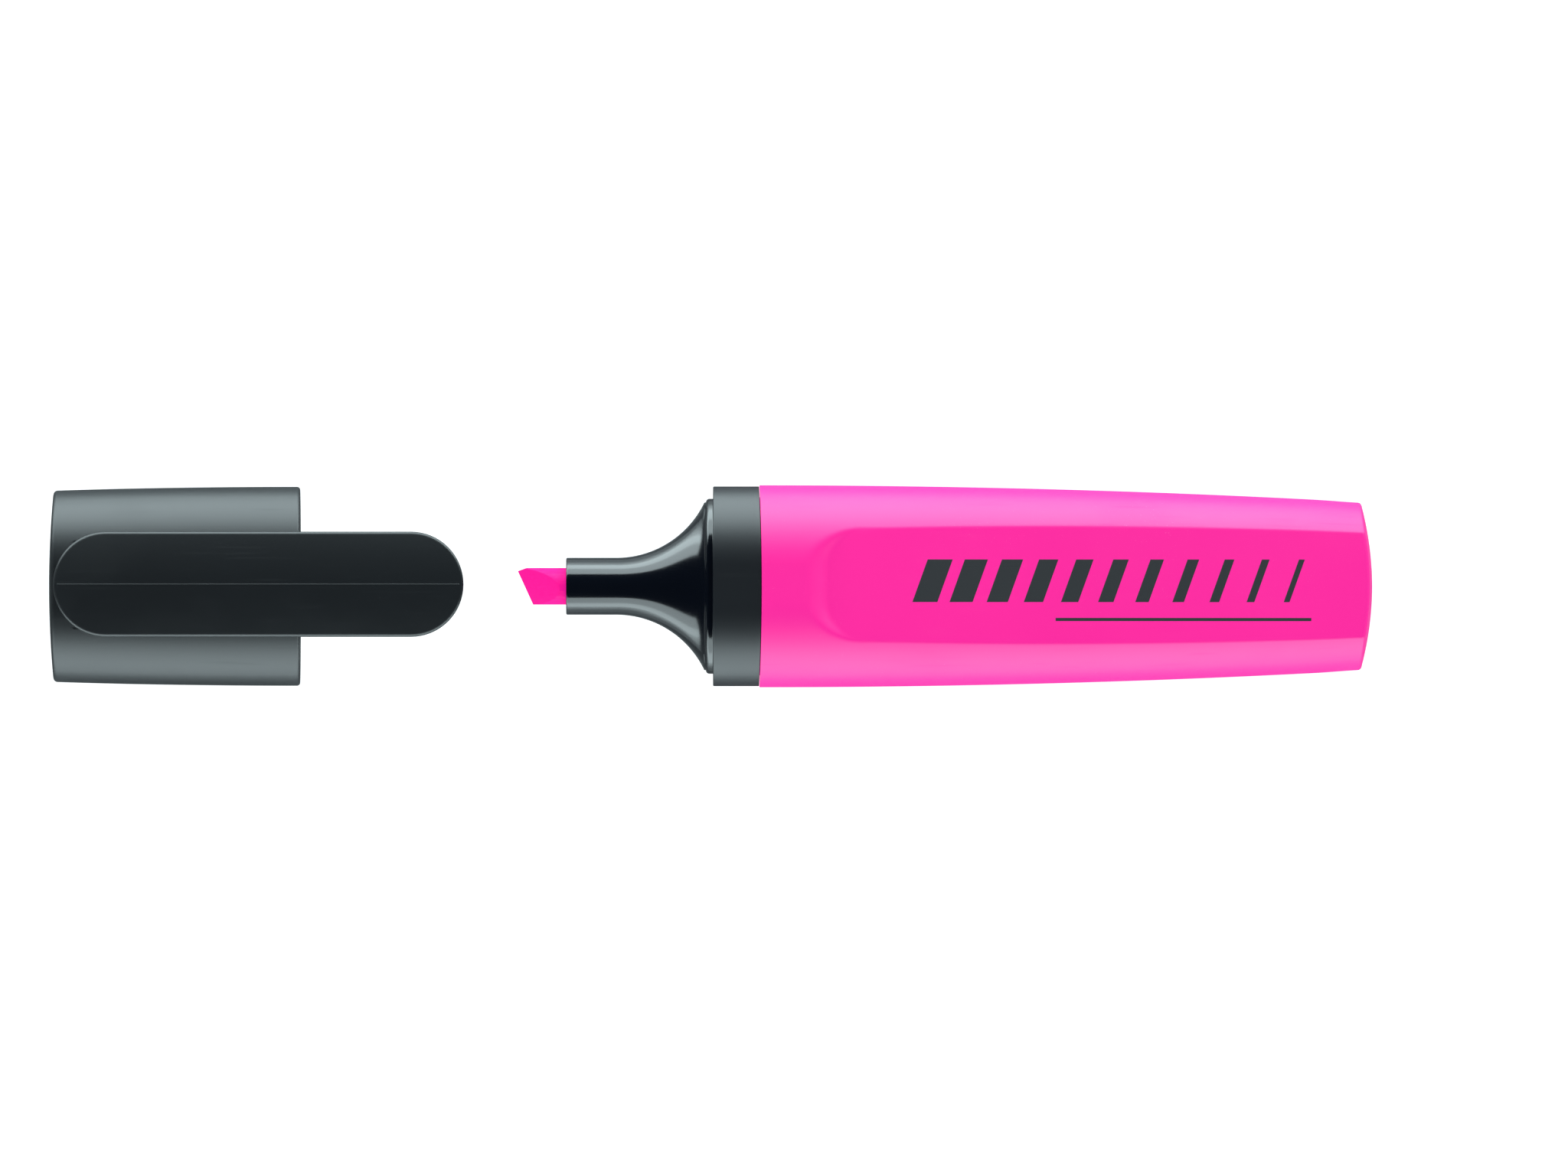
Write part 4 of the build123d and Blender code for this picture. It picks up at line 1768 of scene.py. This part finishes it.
@dataclass
class Clip:
    """Long round-ended clip with a crowned top, a fine line, a heel and a grip bump.

    Attributes:
        crown: Radius of the crown across it.
        thickness: Thickness of the plate at its middle.
        edge: Radius of its top edge.
        under_edge: Radius of its bottom edge.
        line: Radius of the fine line along it.
        line_rise: How far the line stands up.
        line_clear: Height of the CAD solid's highest point over the crown.
        line_setback: How far inside the plate's ends the line stops.
        hinge: Station and height of the clip's axis.
        heel: Radius, width and half the stem of the heel round that axis.
        bump: Station, lowest point and radius of the grip bump.
        low: Lowest corner of its CAD solid.
        high: Highest corner of its CAD solid.
    """

    crown: float = 38 * MM
    thickness: float = 2.25 * MM
    edge: float = 0.35 * MM
    under_edge: float = 0.15 * MM
    line: float = 0.08 * MM
    line_rise: float = 0.016 * MM
    line_clear: float = 0.07 * MM
    line_setback: float = 0.5 * MM
    hinge: tuple[float, float] = CLIP_HINGE
    heel: tuple[float, float, float] = (1.55 * MM, 9.0 * MM, 1.0 * MM)
    bump: tuple[float, float, float] = (-38.5 * MM, 16.4 * MM, 5.0 * MM)
    low: Vector = field(default_factory=lambda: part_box("cap_clip")[0])
    high: Vector = field(default_factory=lambda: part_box("cap_clip")[1])

    @property
    def top(self) -> float:
        """Height of the crown's middle."""
        return self.high.z - self.line_clear

    def loop(self, inset: float, z: float | None) -> list[Vector]:
        """One loop of the clip's outline.

        Args:
            inset: How far inside the outline it runs.
            z: Its height, or None to follow the crown.

        Returns:
            The loop's points.
        """
        half = self.high.y
        radius = max(half - inset, 0.0)
        points = []
        left, right = self.low.x + half, self.high.x - half
        for centre, first in ((right, -90.0), (left, 90.0)):
            for step in range(33):
                turn = math.radians(first + 180.0 * step / 32)
                points.append((centre + radius * math.cos(turn), radius * math.sin(turn)))
            other = left if centre == right else right
            side = radius if centre == right else -radius
            for step in range(1, 24):
                points.append((centre + (other - centre) * step / 24, side))
        ring = []
        for x, y in points:
            height = z
            if height is None:
                height = self.top - self.crown + math.sqrt(self.crown**2 - y * y)
            ring.append(Vector((x, y, height)))
        return ring

    def plate(self) -> bpy.types.Mesh:
        """Skin the crowned plate, whose first and last loops close on its middle line.

        Returns:
            The plate.
        """
        half = self.high.y
        bottom = self.top - self.thickness
        side_top = self.top - self.crown + math.sqrt(self.crown**2 - half**2)
        under = self.under_edge
        rings = [self.loop(inset, bottom) for inset in (half, 4.5 * MM, 1.5 * MM, under + HOLD)]
        for sine, cosine in quarter_turn(3):
            rings.append(self.loop(under * (1 - sine), bottom + under * (1 - cosine)))
        rings.append(self.loop(0.0, bottom + under + HOLD))
        rings.append(self.loop(0.0, side_top - self.edge - 0.08 * MM))
        for sine, cosine in quarter_turn(6):
            inset = self.edge * (1 - cosine)
            crowned = self.loop(inset, None)
            drop = self.edge * (1 - sine)
            rings.append([point - Vector((0, 0, drop)) for point in crowned])
        for inset in (0.45, 0.8, 1.4, 2.2, 3.2, 4.4, 5.6, 6.4):
            rings.append(self.loop(inset * MM, None))
        rings.append(self.loop(half, None))
        return skin("clip_plate", rings, Ends.BARE)

    def fine_line(self) -> bpy.types.Mesh:
        """Skin the fine raised line, a thin bar sunk in the crown.

        Returns:
            The line.
        """
        centre = self.top + self.line_rise - self.line
        rings = []
        for x in spread(self.low.x + self.line_setback, self.high.x - self.line_setback, 4 * MM):
            rings.append(Oval.circle(self.line, centre).polar(x, 24))
        return skin("clip_line", rings, Ends.FILLED)

    def heel_bar(self) -> bpy.types.Mesh:
        """Skin the heel, a round bar across the clip with a stem up into the plate.

        Returns:
            The heel.
        """
        radius, span, stem = self.heel
        top = self.top - self.thickness + 0.3 * MM
        start = math.asin(stem / radius)
        turns = [math.pi / 2 + start + (2 * math.pi - 2 * start) * i / 40 for i in range(41)]
        outline = [
            (self.hinge[0] + radius * math.cos(t), self.hinge[1] + radius * math.sin(t))
            for t in turns
        ]
        outline += [(self.hinge[0] + stem, top), (self.hinge[0] - stem, top)]
        end, shoulder = span / 2, span / 2 - 0.15 * MM
        rings = []
        for y, share in ((-end, 0.9), (-shoulder, 1.0), (shoulder, 1.0), (end, 0.9)):
            ring = []
            for x, z in outline:
                height = z if z == top else self.hinge[1] + (z - self.hinge[1]) * share
                ring.append(Vector((self.hinge[0] + (x - self.hinge[0]) * share, y, height)))
            rings.append(ring)
        return skin("clip_heel", rings, Ends.FILLED)

    def grip_bump(self) -> bpy.types.Mesh:
        """Skin the round bump under the clip's tip.

        Returns:
            The bump.
        """
        x, lowest, radius = self.bump
        top = self.top - self.thickness + 0.35 * MM
        full = math.acos(1 - (top - lowest) / radius)
        rings = []
        for step in range(12):
            turn = full * (step + 0.25) / 11.25
            ring = []
            for index in range(64):
                around = 2 * math.pi * index / 64
                reach = radius * math.sin(turn)
                ring.append(Vector((
                    x + reach * math.cos(around),
                    reach * math.sin(around),
                    lowest + radius * (1 - math.cos(turn)),
                )))
            rings.append(ring)
        return skin("clip_bump", rings, Ends.FILLED)

    def build(self) -> bpy.types.Object:
        """Put the clip's shapes in one mesh.

        Returns:
            The clip.
        """
        parts = [self.plate(), self.fine_line(), self.heel_bar(), self.grip_bump()]
        mesh = join_meshes("clip", parts)
        mesh.set_sharp_from_angle(angle=math.radians(40))
        return new_object("clip", mesh)

    def dress(self, piece: bpy.types.Object, material: bpy.types.Material) -> None:
        """Give the clip its finish and its place."""
        place(piece, Body.CLIP, material, ["cap_clip"])


@dataclass
class Reservoir:
    """Ink fibre in its film, kept as CAD solids with finishes of their own.

    Attributes:
        core: Node of the fibre.
        film: Node of the film.
    """

    core: str = "reservoir_core"
    film: str = "reservoir_film"

    def dress(self, effects: Effects) -> None:
        """Finish both solids.

        Args:
            effects: The shared groups.
        """
        for node, finish in ((self.core, INK_FIBRE), (self.film, CLEAR_FILM)):
            material = finish.make(effects)
            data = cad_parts[node].data
            data.materials.clear()
            data.materials.append(material)
            LOG.info("%s: kept, dressed as %s", node, material.name)


# ---------------------------------------------------------------- stage


@dataclass
class Studio:
    """Pale floor, a long softbox low at each side, and a camera that looks down.

    Attributes:
        aim: What the camera looks at.
        elevation: Its angle above the floor, in degrees.
        distance: How far it stands from there.
        seen: Width of what it sees at that distance.
        softbox_distance: How far to each side the softboxes hang.
        softbox_length: Length of each softbox.
        bands: Height and radiance of each band of a softbox, from the floor up.
        far_share: Share of that radiance at +Y.
        near_share: Share of that radiance at -Y.
        softbox_colour: Colour of the softboxes.
        floor_reach: Half the floor's side.
        floor_tones: Darkest and lightest grey of the floor.
        floor_glow: Light that the floor shows to the camera alone.
        floor_ior: Index of refraction of the floor.
        sky: Colour that the pieces reflect.
        backdrop: Colour that the camera sees.
    """

    aim: Vector = field(default_factory=lambda: Vector((9.58 * MM, -0.25 * MM, 9 * MM)))
    elevation: float = 88.5
    distance: float = 5.0
    seen: float = 204.8 * MM
    softbox_distance: float = 0.30
    softbox_length: float = 1.1
    bands: tuple[tuple[float, float], ...] = ((0.10, 10.5), (0.17, 7.0))
    far_share: float = 1.0
    near_share: float = 0.72
    softbox_colour: Colour = (0.84, 1.0, 1.03)
    floor_reach: float = 3.0
    floor_tones: tuple[float, float] = (0.29, 0.31)
    floor_glow: float = 0.85
    floor_ior: float = 1.8
    sky: Colour = (0.012, 0.015, 0.020)
    backdrop: Colour = (0.93, 0.94, 0.95)

    def floor(self) -> None:
        """Lay the floor."""
        mesh = bpy.data.meshes.new("floor")
        reach = self.floor_reach
        corners = [(-reach, -reach, 0), (reach, -reach, 0), (reach, reach, 0), (-reach, reach, 0)]
        mesh.from_pydata(corners, [], [(0, 1, 2, 3)])
        floor = new_object("floor", mesh)
        shader = Shader("floor_acrylic")
        path = shader.tree.nodes.new("ShaderNodeLightPath")
        seen = Field(shader.tree, path.outputs["Is Camera Ray"])
        shader.surface.inputs["Emission Strength"].default_value = self.floor_glow
        shader.link(shader.mix(seen, (0.0, 0.0, 0.0), (1.0, 1.0, 1.0)), "Emission Color")
        mottle = noise(shader.tree, shader.vector, 30.0)
        dark, light = ((tone, tone, tone) for tone in self.floor_tones)
        shader.link(shader.mix(mottle, dark, light), "Base Color")
        shader.surface.inputs["IOR"].default_value = self.floor_ior
        shader.link(mottle * 0.05 + 0.12, "Roughness")
        mesh.materials.append(shader.material)

    def lights(self) -> None:
        """Hang the softboxes and set the world."""
        for name, side, share in (("near", -1, self.near_share), ("far", 1, self.far_share)):
            low = 0.0
            for band, (tall, radiance) in enumerate(self.bands):
                data = bpy.data.lights.new(f"softbox_{name}_{band}", "AREA")
                data.shape = "RECTANGLE"
                data.size = self.softbox_length
                data.size_y = tall
                data.energy = share * radiance * math.pi * self.softbox_length * tall
                data.color = self.softbox_colour
                light = bpy.data.objects.new(data.name, data)
                light.location = (0.0, side * self.softbox_distance, low + tall / 2)
                light.rotation_euler = (math.radians(-90 * side), 0.0, 0.0)
                light.visible_camera = False
                bpy.context.scene.collection.objects.link(light)
                low += tall
        world = bpy.data.worlds.new("studio")
        world.use_nodes = True
        tree = world.node_tree
        background = tree.nodes["Background"]
        path = tree.nodes.new("ShaderNodeLightPath")
        mix = tree.nodes.new("ShaderNodeMix")
        mix.data_type = "RGBA"
        mix.inputs["A"].default_value = (*self.sky, 1.0)
        mix.inputs["B"].default_value = (*self.backdrop, 1.0)
        tree.links.new(path.outputs["Is Camera Ray"], mix.inputs["Factor"])
        tree.links.new(mix.outputs["Result"], background.inputs["Color"])
        bpy.context.scene.world = world

    def camera(self) -> None:
        """Set up the camera."""
        data = bpy.data.cameras.new("camera")
        data.sensor_width = 36.0
        data.lens = data.sensor_width * self.distance / self.seen
        data.clip_start = 0.05
        data.clip_end = 50.0
        camera = bpy.data.objects.new("camera", data)
        up = math.radians(self.elevation)
        away = Vector((0.0, -math.cos(up), math.sin(up)))
        camera.location = self.aim + away * self.distance
        camera.rotation_euler = (math.pi / 2 - up, 0.0, 0.0)
        bpy.context.scene.collection.objects.link(camera)
        bpy.context.scene.camera = camera

    def build(self) -> None:
        """Set the whole stage."""
        self.floor()
        self.lights()
        self.camera()
        bpy.context.scene.view_settings.view_transform = "Standard"


def main() -> None:
    """Build every sub-assembly in order and report each piece."""
    logging.basicConfig(level=logging.INFO, format="%(name)s: %(message)s")
    effects = Effects()
    sleeves = SleeveTree()
    Studio().build()
    pink = PINK_PLASTIC.make(effects, printed=PRINT_INK)
    barrel = Barrel()
    barrel.dress(barrel.build(sleeves, pink), pink)
    front = FrontSection()
    front.dress(front.build(), GLOSS_BLACK.make(effects))
    nib = Nib()
    nib.dress(nib.build(), NIB_FIBRE.make(effects))
    Reservoir().dress(effects)
    satin = SATIN_BLACK.make(effects)
    cap = Cap()
    cap.dress(cap.build(sleeves, satin), satin)
    inner_cap = InnerCap()
    inner_cap.dress(inner_cap.build(), LINER_GREY.make(effects))
    clip = Clip()
    clip.dress(clip.build(), CLIP_BLACK.make(effects))


if __name__ == "__main__":
    main()
